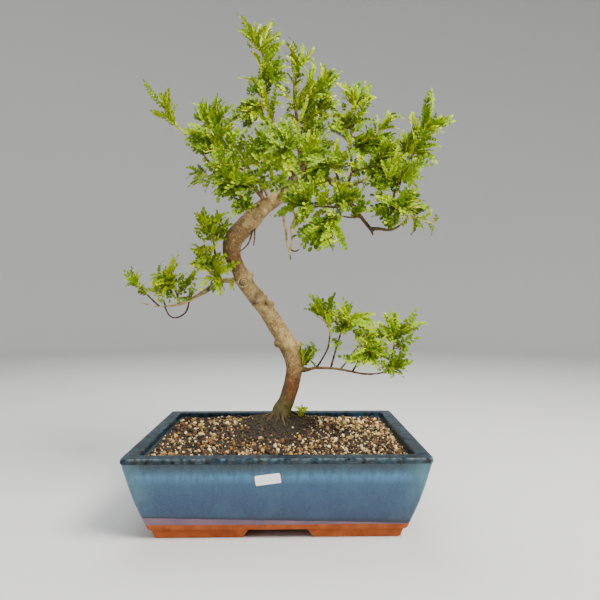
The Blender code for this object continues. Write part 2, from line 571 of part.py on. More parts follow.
def make_soil(parts, cutters):
    """Soil filling the tray, with room for roots and screens, heaped round the trunk."""
    shoulder = SOIL_EDGE + GRANULE_CREST[1] + GAP
    levels = []
    for height in (FLOOR_TOP + GAP, shoulder):
        length, depth = cavity_size(height)
        levels.append((height, length - 2 * GAP, depth - 2 * GAP, CAVITY_CORNER))
    levels.append((shoulder, *HEAP_BASE, CAVITY_CORNER))
    levels.append((TRAY_HEIGHT + MOUND_RISE, *HEAP_BASE, CAVITY_CORNER))
    soil = rectangular_loft("soil", levels, parts)
    tools = [air_above_soil(cutters)]
    tools += [as_cutter(root) for root in root_tubes(ROOT_CLEARANCE, cutters)]
    pocket = SCREEN_SIZE + 2 * GAP
    for side in (-1, 1):
        height = SCREEN_THICKNESS + 4 * GAP
        tools.append(as_cutter(box("pocket", (pocket, pocket, height),
                                   (side * DRAIN_X, 0, FLOOR_TOP + height / 2), cutters)))
    x, y, z = SPROUT_FOOT
    radius, below, above = SPROUT_HOLE
    tools.append(as_cutter(tube("sprout_hole", [(x, y, z - below, radius), (x, y, z + above, radius)], 1, cutters)))
    combine(soil, tools, "DIFFERENCE")
    keep_largest_body(soil)
    return finish(soil, "soil", angle=10)


def knot(centre, radius, stretch, home):
    """A rounded swelling of bark."""
    shape = bmesh.new()
    bmesh.ops.create_icosphere(shape, subdivisions=1, radius=radius * MM)
    bmesh.ops.scale(shape, verts=shape.verts[:], vec=stretch)
    bmesh.ops.translate(shape, verts=shape.verts[:], vec=Vector(centre) * MM)
    return mesh_object("knot", shape, home)


def make_tree(parts, cutters):
    """Trunk, roots, limbs, knots and healed cut, grown together as one body."""
    tree = tube("tree", TRUNK, 4, parts)
    pieces = [tube("root", route, 1, cutters) for route in ROOTS]
    for name, (base, _, _) in LIMBS.items():
        pieces.append(tube(name, limb_route(name), sum(base > bound for bound in LIMB_BOUNDS), cutters))
    pieces += [knot(centre, radius, stretch, cutters) for centre, radius, stretch in KNOTS]
    x, y, z = WOUND_CENTRE
    callus = []
    for step in range(WOUND_STEPS):
        turn = math.tau * step / WOUND_STEPS
        callus.append((x + WOUND_RADIUS * math.cos(turn), y, z + WOUND_RADIUS * math.sin(turn), WOUND_LIP))
    pieces.append(tube("callus", callus, 1, cutters, ring=True))
    combine(tree, pieces, "UNION", "MANIFOLD")
    keep_largest_body(tree)
    return finish(tree, "tree", angle=40)


def leaf_outline(blade_share, leaflet):
    """Half outline of a pinnate leaf, base to tip, and the numbers of its points that lie on the rib.

    Each point is (share along the rib, distance from it).
    """
    start = 1.0 - blade_share
    end_length, end_belly, end_width = END_LEAFLET
    pitch = blade_share / (LEAFLET_PAIRS + end_length)
    half = [(0.0, FOOT_HALF_WIDTH)]
    ribs = [0]
    for pair in range(LEAFLET_PAIRS):
        foot = start + pair * pitch
        ribs.append(len(half))
        half.append((foot, RIB_HALF_WIDTH))
        if pair > 0:
            half.append((foot + LEAFLET_SHOULDER * pitch, leaflet))
        half.append((foot + (LEAFLET_POINT + LEAFLET_SHOULDER * pair) * pitch, leaflet))
    ribs.append(len(half))
    half.append((start + LEAFLET_PAIRS * pitch, RIB_HALF_WIDTH))
    half.append((start + (LEAFLET_PAIRS + end_belly) * pitch, leaflet * end_width))
    return half, ribs


class Leaf:
    """A thin arched blade from a point on a stem to its tip."""

    def __init__(self, base, tip, lean, chance):
        self.base = base
        self.tip = tip
        span = tip - base
        self.length = span.length
        along = span.normalized()
        rise = lean - along * lean.dot(along)
        wild = Vector((chance.uniform(-1, 1), chance.uniform(-1, 1), chance.uniform(-1, 1)))
        outward = Vector((tip.x, tip.y, 0.0)).normalized()
        face = GAZE + outward * OUTWARD + wild * WILDNESS
        self.side = along.cross(face).normalized()
        up = self.side.cross(along).normalized()
        bend = up * chance.uniform(*ARCH) + rise * FOLLOW
        self.middle = base + span * 0.5 + bend * self.length
        share = chance.uniform(*BLADE_SHARE)
        leaflet = chance.uniform(*LEAFLET_LENGTH) * min(1.0, self.length / FULL_LEAF) ** 0.5
        self.half, self.ribs = leaf_outline(share, leaflet)

    def place(self, t, across, lift):
        """A point of the blade from its share along, its distance across and its height."""
        spot = self.base * (1 - t) ** 2 + self.middle * 2 * t * (1 - t) + self.tip * t ** 2
        tangent = (self.middle - self.base) * (1 - t) + (self.tip - self.middle) * t
        up = self.side.cross(tangent.normalized())
        return spot + self.side * across + up * lift

    def outline(self):
        """Closed outline, out along one side and back along the other."""
        return self.half + [(1.0, 0.0)] + [(t, -w) for t, w in reversed(self.half)]

    def faces(self):
        """Triangles of the outline as rows of point numbers: the rib's strip, each leaflet, the end leaflet."""
        last = 2 * len(self.half)
        rows = []
        for low, high in zip(self.ribs, self.ribs[1:]):
            rows += [(low, high, last - high), (low, last - high, last - low)]
            for i in range(low + 1, high):
                rows += [(low, i, i + 1), (last - low, last - i - 1, last - i)]
        neck = self.ribs[-1]
        tip = len(self.half)
        rows += [(neck, tip, last - neck), (neck, neck + 1, tip), (last - neck, tip, tip + 1)]
        return rows

    def solid(self, grow=0.0, start=0.0):
        """Points and triangles of the closed blade, made thicker and wider by a clearance."""
        outline = self.outline()
        count = len(outline)
        points = []
        for level in (1, -1):
            for t, across in outline:
                wide = across + math.copysign(grow, across) if across else 0.0
                along = max(t, start) + (grow / self.length if t == 1.0 else 0.0)
                points.append(self.place(along, wide, level * (BLADE_THICKNESS / 2 + grow)))
        flat = self.faces()
        rows = flat + [tuple(count + i for i in reversed(row)) for row in flat]
        for i in range(count):
            j = (i + 1) % count
            rows.append((j, i, count + i))
            rows.append((j, count + i, count + j))
        return points, rows

    def model(self, home):
        """The blade as an object."""
        points, rows = self.solid()
        shape = bmesh.new()
        verts = [shape.verts.new(point) for point in points]
        for row in rows:
            shape.faces.new([verts[i] for i in row])
        return mesh_object("leaf", shape, home)


class Garden:
    """Everything placed so far, to keep each new piece clear of it."""

    def __init__(self):
        self.solids = []

    def add(self, points, rows):
        """Remembers a solid."""
        self.solids.append(BVHTree.FromPolygons(points, rows))

    def clear_of(self, points, rows):
        """Whether a solid crosses nothing that is remembered."""
        trial = BVHTree.FromPolygons(points, rows)
        return not any(trial.overlap(solid) for solid in self.solids)


def mesh_rows(obj):
    """Points and faces of an object's mesh."""
    return [vert.co.copy() for vert in obj.data.vertices], [tuple(face.vertices) for face in obj.data.polygons]


def spray_base(limb, share, goal, tree):
    """Where a spray's stem leaves its limb, and the direction in which it starts."""
    route = limb_route(limb)
    point, radius, heading = place_on(route, share)
    if share >= 1.0:
        return point * MM + heading * GAP, heading
    axis = point * MM
    out = goal - axis
    out -= heading * out.dot(heading)
    out.normalize()
    start = axis + out * (radius * MM + RAY_START)
    hit, normal = tree.ray_cast(start, -out)[:2]
    return hit + normal * GAP, (normal + out).normalized()


def stem_route(base, heading, end):
    """A stem that leaves along its heading and bends to its end, in millimetres."""
    span = (end - base).length
    lead = base + heading * STEM_SWEEP * span
    thick, thin = STEM_RADIUS
    route = [(*(base / MM), thick), (*((base + heading * min(STEM_LEAD, 0.5 * STEM_SWEEP * span)) / MM), thick)]
    for t in (0.5, 1.0) if span < LONG_STEM else (0.35, 0.7, 1.0):
        spot = base * (1 - t) ** 2 + lead * 2 * t * (1 - t) + end * t ** 2
        route.append((*(spot / MM), thick + (thin - thick) * t))
    return route


def grow_leaves(route, tips, step, garden, chance):
    """Leaves from a stem to their tips, each redrawn until it is clear of its surroundings."""
    leaves = []
    for i, tip in enumerate(tips):
        spot, _, heading = place_on(route, 1.0 - step * i)
        base = spot * MM - heading * (TIP_OVERLAP if i == 0 else 0.0)
        for attempt in range(LEAF_TRIES):
            drift = TIP_DRIFT * attempt / LEAF_TRIES
            goal = Vector([place * MM + chance.uniform(-drift, drift) for place in tip])
            span = goal - base
            span = span.normalized() * min(max(span.length, LEAF_REACH[0]), LEAF_REACH[1])
            leaf = Leaf(base, base + span, heading, chance)
            body = leaf.solid(CLEARANCE)
            siblings = Garden()
            for other in leaves:
                siblings.add(*other.solid(0.0, OWN_CLEAR_SHARE))
            if siblings.clear_of(*leaf.solid(CLEARANCE, OWN_CLEAR_SHARE)) and garden.clear_of(*body):
                leaves.append(leaf)
                break
    return leaves


def make_spray(name, base, heading, tips, garden, homes, chance, stem_share=STEM_SHARE, step=SIDE_LEAF_STEP):
    """A stem with its leaves as one body, or None where it can't stand clear."""
    parts, cutters = homes
    goal = Vector(tips[0]) * MM
    distance = (goal - base).length
    reach = min(max(END_LEAF_SHARE * distance, END_LEAF_REACH[0]), END_LEAF_REACH[1])
    stem_length = max(distance - reach, stem_share * distance)
    toward = (goal - base).normalized()
    end = base + toward.lerp(heading, HEADING_SHARE).normalized() * stem_length
    route = stem_route(base, heading, end)
    stem = tube(name, route, 0, parts)
    if not garden.clear_of(*mesh_rows(stem)):
        drop([stem])
        return None
    leaves = grow_leaves(route, tips, step, garden, chance)
    if not leaves:
        drop([stem])
        return None
    garden.add(*mesh_rows(stem))
    for leaf in leaves:
        garden.add(*leaf.solid())
    combine(stem, [leaf.model(cutters) for leaf in leaves], "UNION", "MANIFOLD")
    keep_largest_body(stem)
    return finish(stem, "spray", angle=30)


def make_sprays(homes, tree, others):
    """Every leafy spray, each on its limb and clear of its neighbours, and the sprout."""
    garden = Garden()
    for obj in (tree, *others):
        garden.add(*mesh_rows(obj))
    surface = search_tree(tree)
    for number, (name, (limb, share, tips)) in enumerate(SPRAYS.items()):
        chance = random.Random(SEED + number)
        for attempt in range(SPRAY_TRIES):
            nudge = 0.0 if share >= 1.0 else chance.uniform(-SPRAY_SHIFT, SPRAY_SHIFT) * attempt
            base, heading = spray_base(limb, share + nudge, Vector(tips[0]) * MM, surface)
            if make_spray("spray_" + name, base, heading, tips, garden, homes, chance):
                break
    make_spray("sprout", Vector(SPROUT_FOOT) * MM, Vector((0, 0, 1)), SPROUT_TIPS, garden, homes,
               random.Random(SEED), SPROUT_STEM_SHARE, SPROUT_LEAF_STEP)


def main():
    """Builds the bonsai and its tray."""
    for obj in list(bpy.data.objects):
        bpy.data.objects.remove(obj)
    parts = group("pepper_bonsai")
    cutters = group("cutters", hidden=True)
    tray = make_tray(parts, cutters)
    make_screens(parts, cutters)
    make_label(parts)
    soil = make_soil(parts, cutters)
    tree = make_tree(parts, cutters)
    make_sprays((parts, cutters), tree, [soil, tray])


if __name__ == "__main__":
    main()
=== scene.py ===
"""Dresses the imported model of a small-leaved Chinese pepper bonsai in a glazed tray.

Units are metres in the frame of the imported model: +X right, +Y away from the viewer, +Z up, origin under the
middle of the tray at the level of its foot. Sizes in the fields of the pieces, routes of wood and tips of leaves are
in millimetres, and those in the fields of finishes and of the studio in metres.
"""
import logging
import math
from dataclasses import dataclass
from enum import Enum
from functools import partialmethod
from typing import Sequence

import bmesh
import bpy
import numpy as np
from mathutils import Matrix, Quaternion, Vector, noise

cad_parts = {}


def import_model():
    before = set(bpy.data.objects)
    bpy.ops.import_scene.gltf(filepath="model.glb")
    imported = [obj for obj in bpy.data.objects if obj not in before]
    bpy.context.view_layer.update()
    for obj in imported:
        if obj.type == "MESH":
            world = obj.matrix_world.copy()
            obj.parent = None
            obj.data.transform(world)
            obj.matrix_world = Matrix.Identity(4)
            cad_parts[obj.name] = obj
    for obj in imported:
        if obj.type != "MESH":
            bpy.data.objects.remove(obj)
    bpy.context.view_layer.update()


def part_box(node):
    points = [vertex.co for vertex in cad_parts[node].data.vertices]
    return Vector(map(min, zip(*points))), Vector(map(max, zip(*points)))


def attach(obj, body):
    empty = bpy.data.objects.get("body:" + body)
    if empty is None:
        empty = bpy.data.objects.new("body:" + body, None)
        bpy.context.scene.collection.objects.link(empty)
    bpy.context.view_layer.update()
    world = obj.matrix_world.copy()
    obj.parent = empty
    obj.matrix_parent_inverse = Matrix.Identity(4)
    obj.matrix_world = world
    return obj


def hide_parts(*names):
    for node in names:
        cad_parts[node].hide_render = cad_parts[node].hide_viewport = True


MM = 0.001
SEED = 20
BODY = "root"
ROUND_END = 0.7  # how far a tube's end stands out, in radii
Numbers = np.ndarray
Chance = np.random.Generator
Piece = bpy.types.Object
Material = bpy.types.Material
Network = bpy.types.NodeTree
Node = bpy.types.Node
Socket = bpy.types.NodeSocket
Pair = tuple[float, float]
Triple = tuple[float, float, float]
Spot = Triple  # a place
Rung = tuple[float, float, float, float]  # a place on a route and its radius
Colour = Triple
Stop = tuple[float, int, int, int]  # place from 0 to 1, screen colour
log = logging.getLogger("pepper_bonsai")


def ink(red: int, green: int, blue: int) -> Colour:
    """Scene-linear colour of a screen colour given from 0 to 255."""
    parts = [part / 255 for part in (red, green, blue)]
    return tuple(p / 12.92 if p <= 0.04045 else ((p + 0.055) / 1.055) ** 2.4 for p in parts)


# Mesh making


class Stock:
    """Closed bodies gathered into one mesh, with numbers painted on their points."""

    def __init__(self) -> None:
        """Starts with nothing in it."""
        self.points: list[Numbers] = []
        self.rows: list[Numbers] = []
        self.coats: list[Numbers] = []
        self.paint: dict[str, list[Numbers]] = {}
        self.count = 0

    def add(self, points: Numbers, rows: Numbers, coat: int = 0, **paint: float | Numbers) -> None:
        """Adds one closed body.

        Args:
            points: Its points in metres.
            rows: Its triangles as rows of point numbers.
            coat: Which of the piece's materials it wears.
            paint: Named numbers, one for the body or one for each point.
        """
        self.points.append(points)
        self.rows.append(rows + self.count)
        self.coats.append(np.full(len(rows), coat))
        for name, value in paint.items():
            self.paint.setdefault(name, []).append(np.broadcast_to(value, (len(points),)))
        self.count += len(points)

    def make(self, name: str, coats: Sequence[Material]) -> Piece:
        """Makes the mesh object.

        Args:
            name: The piece's name.
            coats: Its materials, in the order that add() counts them.

        Returns:
            The object, smooth shaded and linked to the scene.
        """
        rows = np.vstack(self.rows).astype(np.int32)
        mesh = bpy.data.meshes.new(name)
        mesh.vertices.add(self.count)
        mesh.vertices.foreach_set("co", np.vstack(self.points).ravel())
        mesh.loops.add(rows.size)
        mesh.loops.foreach_set("vertex_index", rows.ravel())
        mesh.polygons.add(len(rows))
        mesh.polygons.foreach_set("loop_start", np.arange(0, rows.size, 3, dtype=np.int32))
        for coat in coats:
            mesh.materials.append(coat)
        mesh.polygons.foreach_set("material_index", np.concatenate(self.coats).astype(np.int32))
        for label, values in self.paint.items():
            layer = mesh.attributes.new(label, "FLOAT", "POINT")
            layer.data.foreach_set("value", np.concatenate(values).astype(np.float32))
        mesh.update(calc_edges=True)
        mesh.shade_smooth()
        return placed(name, mesh)


def placed(name: str, data: bpy.types.ID) -> Piece:
    """Makes an object of a mesh, light or camera and links it to the scene.

    Args:
        name: Its name.
        data: What it shows.

    Returns:
        The object.
    """
    made = bpy.data.objects.new(name, data)
    bpy.context.scene.collection.objects.link(made)
    return made


def settle(piece: Piece, slot: str, *nodes: str) -> Piece:
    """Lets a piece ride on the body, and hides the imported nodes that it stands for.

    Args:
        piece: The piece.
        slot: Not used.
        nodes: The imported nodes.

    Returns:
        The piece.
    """
    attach(piece, BODY)
    if nodes:
        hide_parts(*nodes)
    log.info("%s: %d faces", piece.name, len(piece.data.polygons))
    return piece


def modify(piece: Piece, kind: str, **settings: object) -> None:
    """Adds a modifier with its settings to a piece.

    Args:
        piece: The piece.
        kind: The modifier's type.
        settings: Its own properties.
    """
    step = piece.modifiers.new(kind.lower(), kind)
    for name, value in settings.items():
        setattr(step, name, value)


def applied(piece: Piece) -> Piece:
    """Turns a piece's modifiers into its mesh.

    Args:
        piece: The object, changed in place.

    Returns:
        The object.
    """
    seen = piece.evaluated_get(bpy.context.evaluated_depsgraph_get())
    mesh = bpy.data.meshes.new_from_object(seen)
    old = piece.data
    piece.modifiers.clear()
    piece.data = mesh
    mesh.name = piece.name
    bpy.data.meshes.remove(old)
    return piece


def from_bmesh(name: str, shape: bmesh.types.BMesh) -> Piece:
    """Makes an object of a bmesh with its faces pointing out, and frees it.

    Args:
        name: The object's name.
        shape: The bmesh.

    Returns:
        The object.
    """
    bmesh.ops.recalc_face_normals(shape, faces=shape.faces[:])
    mesh = bpy.data.meshes.new(name)
    shape.to_mesh(mesh)
    shape.free()
    return placed(name, mesh)


def ball(fineness: int) -> tuple[Numbers, Numbers]:
    """A ball of radius one, its faces split as often as the fineness says.

    Args:
        fineness: How often its faces are split.

    Returns:
        Its points and its triangles.
    """
    shape = bmesh.new()
    bmesh.ops.create_icosphere(shape, subdivisions=fineness, radius=1.0)
    points = np.array([vert.co[:] for vert in shape.verts])
    rows = np.array([[vert.index for vert in face.verts] for face in shape.faces])
    shape.free()
    return points, rows


def rounded(length: float, depth: float, radius: float, steps: int = 6) -> list[Pair]:
    """Outline of a rectangle with round corners.

    Args:
        length: Along x, in millimetres.
        depth: Along y, in millimetres.
        radius: Of its corners, in millimetres.
        steps: Steps round each corner.

    Returns:
        Places x and y in metres.
    """
    points = []
    for quarter, (sx, sy) in enumerate([(1, 1), (-1, 1), (-1, -1), (1, -1)]):
        for step in range(steps + 1):
            turn = (quarter + step / steps) * math.pi / 2
            points.append(((sx * (length / 2 - radius) + radius * math.cos(turn)) * MM,
                           (sy * (depth / 2 - radius) + radius * math.sin(turn)) * MM))
    return points


def read(items: bpy.types.bpy_prop_collection, name: str, kind: type = float) -> Numbers:
    """Reads the three numbers that each item holds under a name.

    Args:
        items: A mesh's points or triangles.
        name: What to read.
        kind: Its type of number.

    Returns:
        A row for each item.
    """
    flat = np.empty(len(items) * 3, kind)
    items.foreach_get(name, flat)
    return flat.reshape(-1, 3)


def bow(first: Numbers, middle: Numbers, last: Numbers, t: float | Numbers) -> Numbers:
    """Where a curve is at t, from 0 at its first point, drawn towards the middle one, to 1 at its last."""
    return first * (1 - t) ** 2 + middle * 2 * t * (1 - t) + last * t ** 2


def smooth_route(route: Sequence[Rung], step: float) -> Numbers:
    """Reads a smooth curve through a route.

    Args:
        route: Rows of x, y, z and radius in millimetres.
        step: Distance between the points read, in millimetres.

    Returns:
        Rows of x, y, z and radius in millimetres.
    """
    points = np.asarray(route, float)
    padded = np.vstack([2 * points[0] - points[1], points, 2 * points[-1] - points[-2]])
    runs = []
    for a, b, c, d in zip(padded, padded[1:], padded[2:], padded[3:]):
        count = max(2, int(np.linalg.norm((c - b)[:3]) / step))
        t = (np.arange(count) / count)[:, None]
        runs.append(0.5 * (2 * b + (c - a) * t + (2 * a - 5 * b + 4 * c - d) * t ** 2
                           + (3 * b - a - 3 * c + d) * t ** 3))
    runs.append(points[-1:])
    curve = np.vstack(runs)
    curve[:, 3] = np.maximum(curve[:, 3], 0.15)
    return curve


def unit(rows: Numbers) -> Numbers:
    """A vector, or rows of vectors, at length one."""
    return rows / np.maximum(np.linalg.norm(rows, axis=-1, keepdims=True), 1e-9)


def pairs_of(first: int, second: int) -> tuple[Numbers, Numbers]:
    """Every number below the first with every number below the second."""
    return np.meshgrid(np.arange(first), np.arange(second), indexing="ij")


def quads(a: Numbers, b: Numbers, c: Numbers, d: Numbers) -> Numbers:
    """Two triangles for each corner row of four point numbers."""
    return np.vstack([np.stack([a, b, c], 1), np.stack([a, c, d], 1)])


def sweep(route: Numbers, sides: int) -> tuple[Numbers, Numbers]:
    """Sweeps a ring along a route into a closed tube.

    Args:
        route: Rows of x, y, z and radius in millimetres.
        sides: Corners of the ring.

    Returns:
        Its points in metres and its triangles.
    """
    centres, radii = route[:, :3], route[:, 3]
    heading = unit(np.gradient(centres, axis=0))
    guide = np.cross(heading[0], (0.3, 0.5, 0.8) if abs(heading[0][2]) < 0.9 else (1.0, 0.2, 0.1))
    normals = [guide / np.linalg.norm(guide)]
    for along in heading[1:]:
        turned = normals[-1] - along * (normals[-1] @ along)
        normals.append(turned / np.linalg.norm(turned))
    normals = np.array(normals)
    across = np.cross(heading, normals)
    turn = np.arange(sides) / sides * math.tau
    ring = np.cos(turn)[None, :, None] * normals[:, None] + np.sin(turn)[None, :, None] * across[:, None]
    body = centres[:, None] + ring * radii[:, None, None]
    foot = centres[0] - heading[0] * radii[0] * ROUND_END
    head = centres[-1] + heading[-1] * radii[-1] * ROUND_END
    points = np.vstack([body.reshape(-1, 3), foot, head]) * MM
    count = len(route)
    i, j = pairs_of(count - 1, sides)
    a, b = (i * sides + j).ravel(), (i * sides + (j + 1) % sides).ravel()
    c, d = b + sides, a + sides
    j = np.arange(sides)
    k = (j + 1) % sides
    last = (count - 1) * sides
    rows = [quads(a, b, c, d), np.stack([np.full(sides, count * sides), k, j], 1),
            np.stack([np.full(sides, count * sides + 1), last + j, last + k], 1)]
    return points, np.vstack(rows)


def swarm(points: Numbers, scale: float, shift: float = 0.0) -> Numbers:
    """Smooth noise from -1 to 1 at each point, with features of a size in metres."""
    rows = points / scale + shift
    return np.array([noise.noise(row) for row in rows.tolist()])


# Material making


class Wires:
    """Lays and joins the nodes of one node tree."""

    def __init__(self, tree: Network) -> None:
        """Takes the tree to work in."""
        self.tree = tree

    def add(self, kind: str, inputs: dict | None = None, **settings: object) -> Node:
        """Adds a node.

        Args:
            kind: The node's type without its ShaderNode prefix.
            inputs: Sockets by name or number, each a plain value or another node's socket.
            settings: The node's own properties.

        Returns:
            The node.
        """
        node = self.tree.nodes.new(kind if kind.startswith("Node") else "ShaderNode" + kind)
        for name, value in settings.items():
            setattr(node, name, value)
        for name, value in (inputs or {}).items():
            if isinstance(value, Socket):
                self.tree.links.new(value, node.inputs[name])
            else:
                node.inputs[name].default_value = value
        return node

    def math(self, operation: str, first: object, second: object = 0.0) -> Socket:
        """Works out one number from two."""
        return self.add("Math", {0: first, 1: second}, operation=operation).outputs[0]

    plus = partialmethod(math, "ADD")
    minus = partialmethod(math, "SUBTRACT")
    times = partialmethod(math, "MULTIPLY")

    def span(self, value: Socket, low: float, high: float, start: float = 0.0, end: float = 1.0) -> Socket:
        """Carries a number from one span to another and keeps it there."""
        made = self.add("MapRange", {"Value": value, "From Min": low, "From Max": high,
                                     "To Min": start, "To Max": end}, interpolation_type="SMOOTHSTEP")
        return made.outputs["Result"]

    def mix(self, share: object, first: object, second: object) -> Socket:
        """Mixes two colours.

        Args:
            share: How much of the second colour.
            first: The first colour.
            second: The second colour.

        Returns:
            The mixed colour.
        """
        values = {0: share, 6: first, 7: second}
        for key in (6, 7):
            if isinstance(values[key], tuple):
                values[key] = (*values[key][:3], 1.0)
        return self.add("Mix", values, data_type="RGBA").outputs[2]

    def ramp(self, value: Socket, stops: Sequence[Stop]) -> Socket:
        """Reads a colour from a row of stops.

        Args:
            value: Where to read, from 0 to 1.
            stops: The stops in order.

        Returns:
            The colour.
        """
        node = self.add("ValToRGB", {"Fac": value})
        marks = node.color_ramp.elements
        while len(marks) < len(stops):
            marks.new(1.0)
        for mark, (place, *colour) in zip(marks, stops):
            mark.position = place
            mark.color = (*ink(*colour), 1.0)
        return node.outputs["Color"]

    def place(self, stretch: Triple = (1.0, 1.0, 1.0)) -> Socket:
        """The point's place on the object, stretched along its axes.

        Args:
            stretch: Factor along each axis.

        Returns:
            The place.
        """
        spot = self.add("TexCoord").outputs["Object"]
        if stretch == (1.0, 1.0, 1.0):
            return spot
        return self.add("Mapping", {"Vector": spot, "Scale": stretch}).outputs["Vector"]

    def painted(self, name: str) -> Socket:
        """A number painted on the mesh."""
        return self.add("Attribute", attribute_name=name).outputs["Fac"]

    def use(self, effect: Network, **inputs: object) -> Socket:
        """Places a shared effect with its own values.

        Args:
            effect: The shared effect.
            inputs: Its values in small letters.

        Returns:
            The effect's output.
        """
        node = self.tree.nodes.new("ShaderNodeGroup")
        node.node_tree = effect
        for name, value in inputs.items():
            socket = node.inputs[name.capitalize()]
            if isinstance(value, Socket):
                self.tree.links.new(value, socket)
            else:
                socket.default_value = value
        return node.outputs[0]


def new_effect(name: str, inputs: dict[str, float], output: str) -> tuple[Wires, Node, Node]:
    """Starts a shared effect.

    Args:
        name: The effect's name.
        inputs: Its number inputs with their usual values.
        output: Its one number output.

    Returns:
        The wires to lay it with, its input node and its output node.
    """
    tree = bpy.data.node_groups.new(name, "ShaderNodeTree")
    for label, value in inputs.items():
        tree.interface.new_socket(label, in_out="INPUT", socket_type="NodeSocketFloat").default_value = value
    tree.interface.new_socket(output, in_out="OUTPUT", socket_type="NodeSocketFloat")
    wires = Wires(tree)
    return wires, wires.add("NodeGroupInput"), wires.add("NodeGroupOutput")


class Effects:
    """The surface effects that several materials share."""

    def __init__(self) -> None:
        """Builds each effect once."""
        self.mottle = self.make_mottle()
        self.specks = self.make_specks()
        self.grain = self.make_grain()

    @staticmethod
    def make_mottle() -> Network:
        """Soft patches, from 0 to 1, of a size and hardness.

        Returns:
            The effect.
        """
        usual = {"Scale": 40.0, "Detail": 3.0, "Contrast": 2.0, "Drift": 0.0}
        wires, given, out = new_effect("Mottle", usual, "Value")
        clouds = wires.add("TexNoise", {"Vector": wires.place(), "W": given.outputs["Drift"],
                                        "Scale": given.outputs["Scale"], "Detail": given.outputs["Detail"]},
                           noise_dimensions="4D")
        centred = wires.minus(clouds.outputs[0], 0.5)
        spread = wires.times(centred, given.outputs["Contrast"])
        shifted = wires.add("Math", {0: spread, 1: 0.5}, operation="ADD", use_clamp=True)
        wires.tree.links.new(shifted.outputs[0], out.inputs["Value"])
        return wires.tree

    @staticmethod
    def make_specks() -> Network:
        """Scattered round specks as a mask.

        Returns:
            The effect.
        """
        wires, given, out = new_effect("Specks", {"Scale": 400.0, "Share": 0.3, "Size": 0.3}, "Mask")
        cells = wires.add("TexVoronoi", {"Vector": wires.place(), "Scale": given.outputs["Scale"],
                                         "Randomness": 1.0}, feature="F1")
        chosen = wires.math("LESS_THAN", wires.add("SeparateColor", {0: cells.outputs["Color"]}).outputs[0],
                            given.outputs["Share"])
        near = wires.math("DIVIDE", cells.outputs["Distance"], given.outputs["Size"])
        spot = wires.span(near, 0.7, 1.0, 1.0, 0.0)
        wires.tree.links.new(wires.times(chosen, spot), out.inputs["Mask"])
        return wires.tree

    @staticmethod
    def make_grain() -> Network:
        """Fine relief of two sizes as a height.

        Returns:
            The effect.
        """
        wires, given, out = new_effect("Grain", {"Scale": 900.0, "Coarse": 0.4}, "Height")
        fine = wires.add("TexNoise", {"Vector": wires.place(), "Scale": given.outputs["Scale"], "Detail": 3.0})
        wide = wires.math("DIVIDE", given.outputs["Scale"], 5.0)
        broad = wires.add("TexNoise", {"Vector": wires.place(), "Scale": wide, "Detail": 2.0})
        heavy = wires.times(broad.outputs[0], given.outputs["Coarse"])
        wires.tree.links.new(wires.plus(fine.outputs[0], heavy), out.inputs["Height"])
        return wires.tree


def principled(name: str) -> tuple[Wires, Node, Material]:
    """Starts a material and gives its wires and its shader.

    Args:
        name: The material's name.

    Returns:
        Wires for its nodes, its shader and itself.
    """
    made = bpy.data.materials.new(name)
    made.use_nodes = True
    return Wires(made.node_tree), made.node_tree.nodes["Principled BSDF"], made


def join(wires: Wires, shader: Node, **sockets: Socket) -> None:
    """Feeds the shader's sockets, named with _ for each space."""
    for name, socket in sockets.items():
        wires.tree.links.new(socket, shader.inputs[name.replace("_", " ")])


def relief(wires: Wires, height: Socket, depth: float) -> Socket:
    """Bumps a surface by a height, as deep as a size in metres."""
    return wires.add("Bump", {"Height": height, "Distance": depth}).outputs["Normal"]


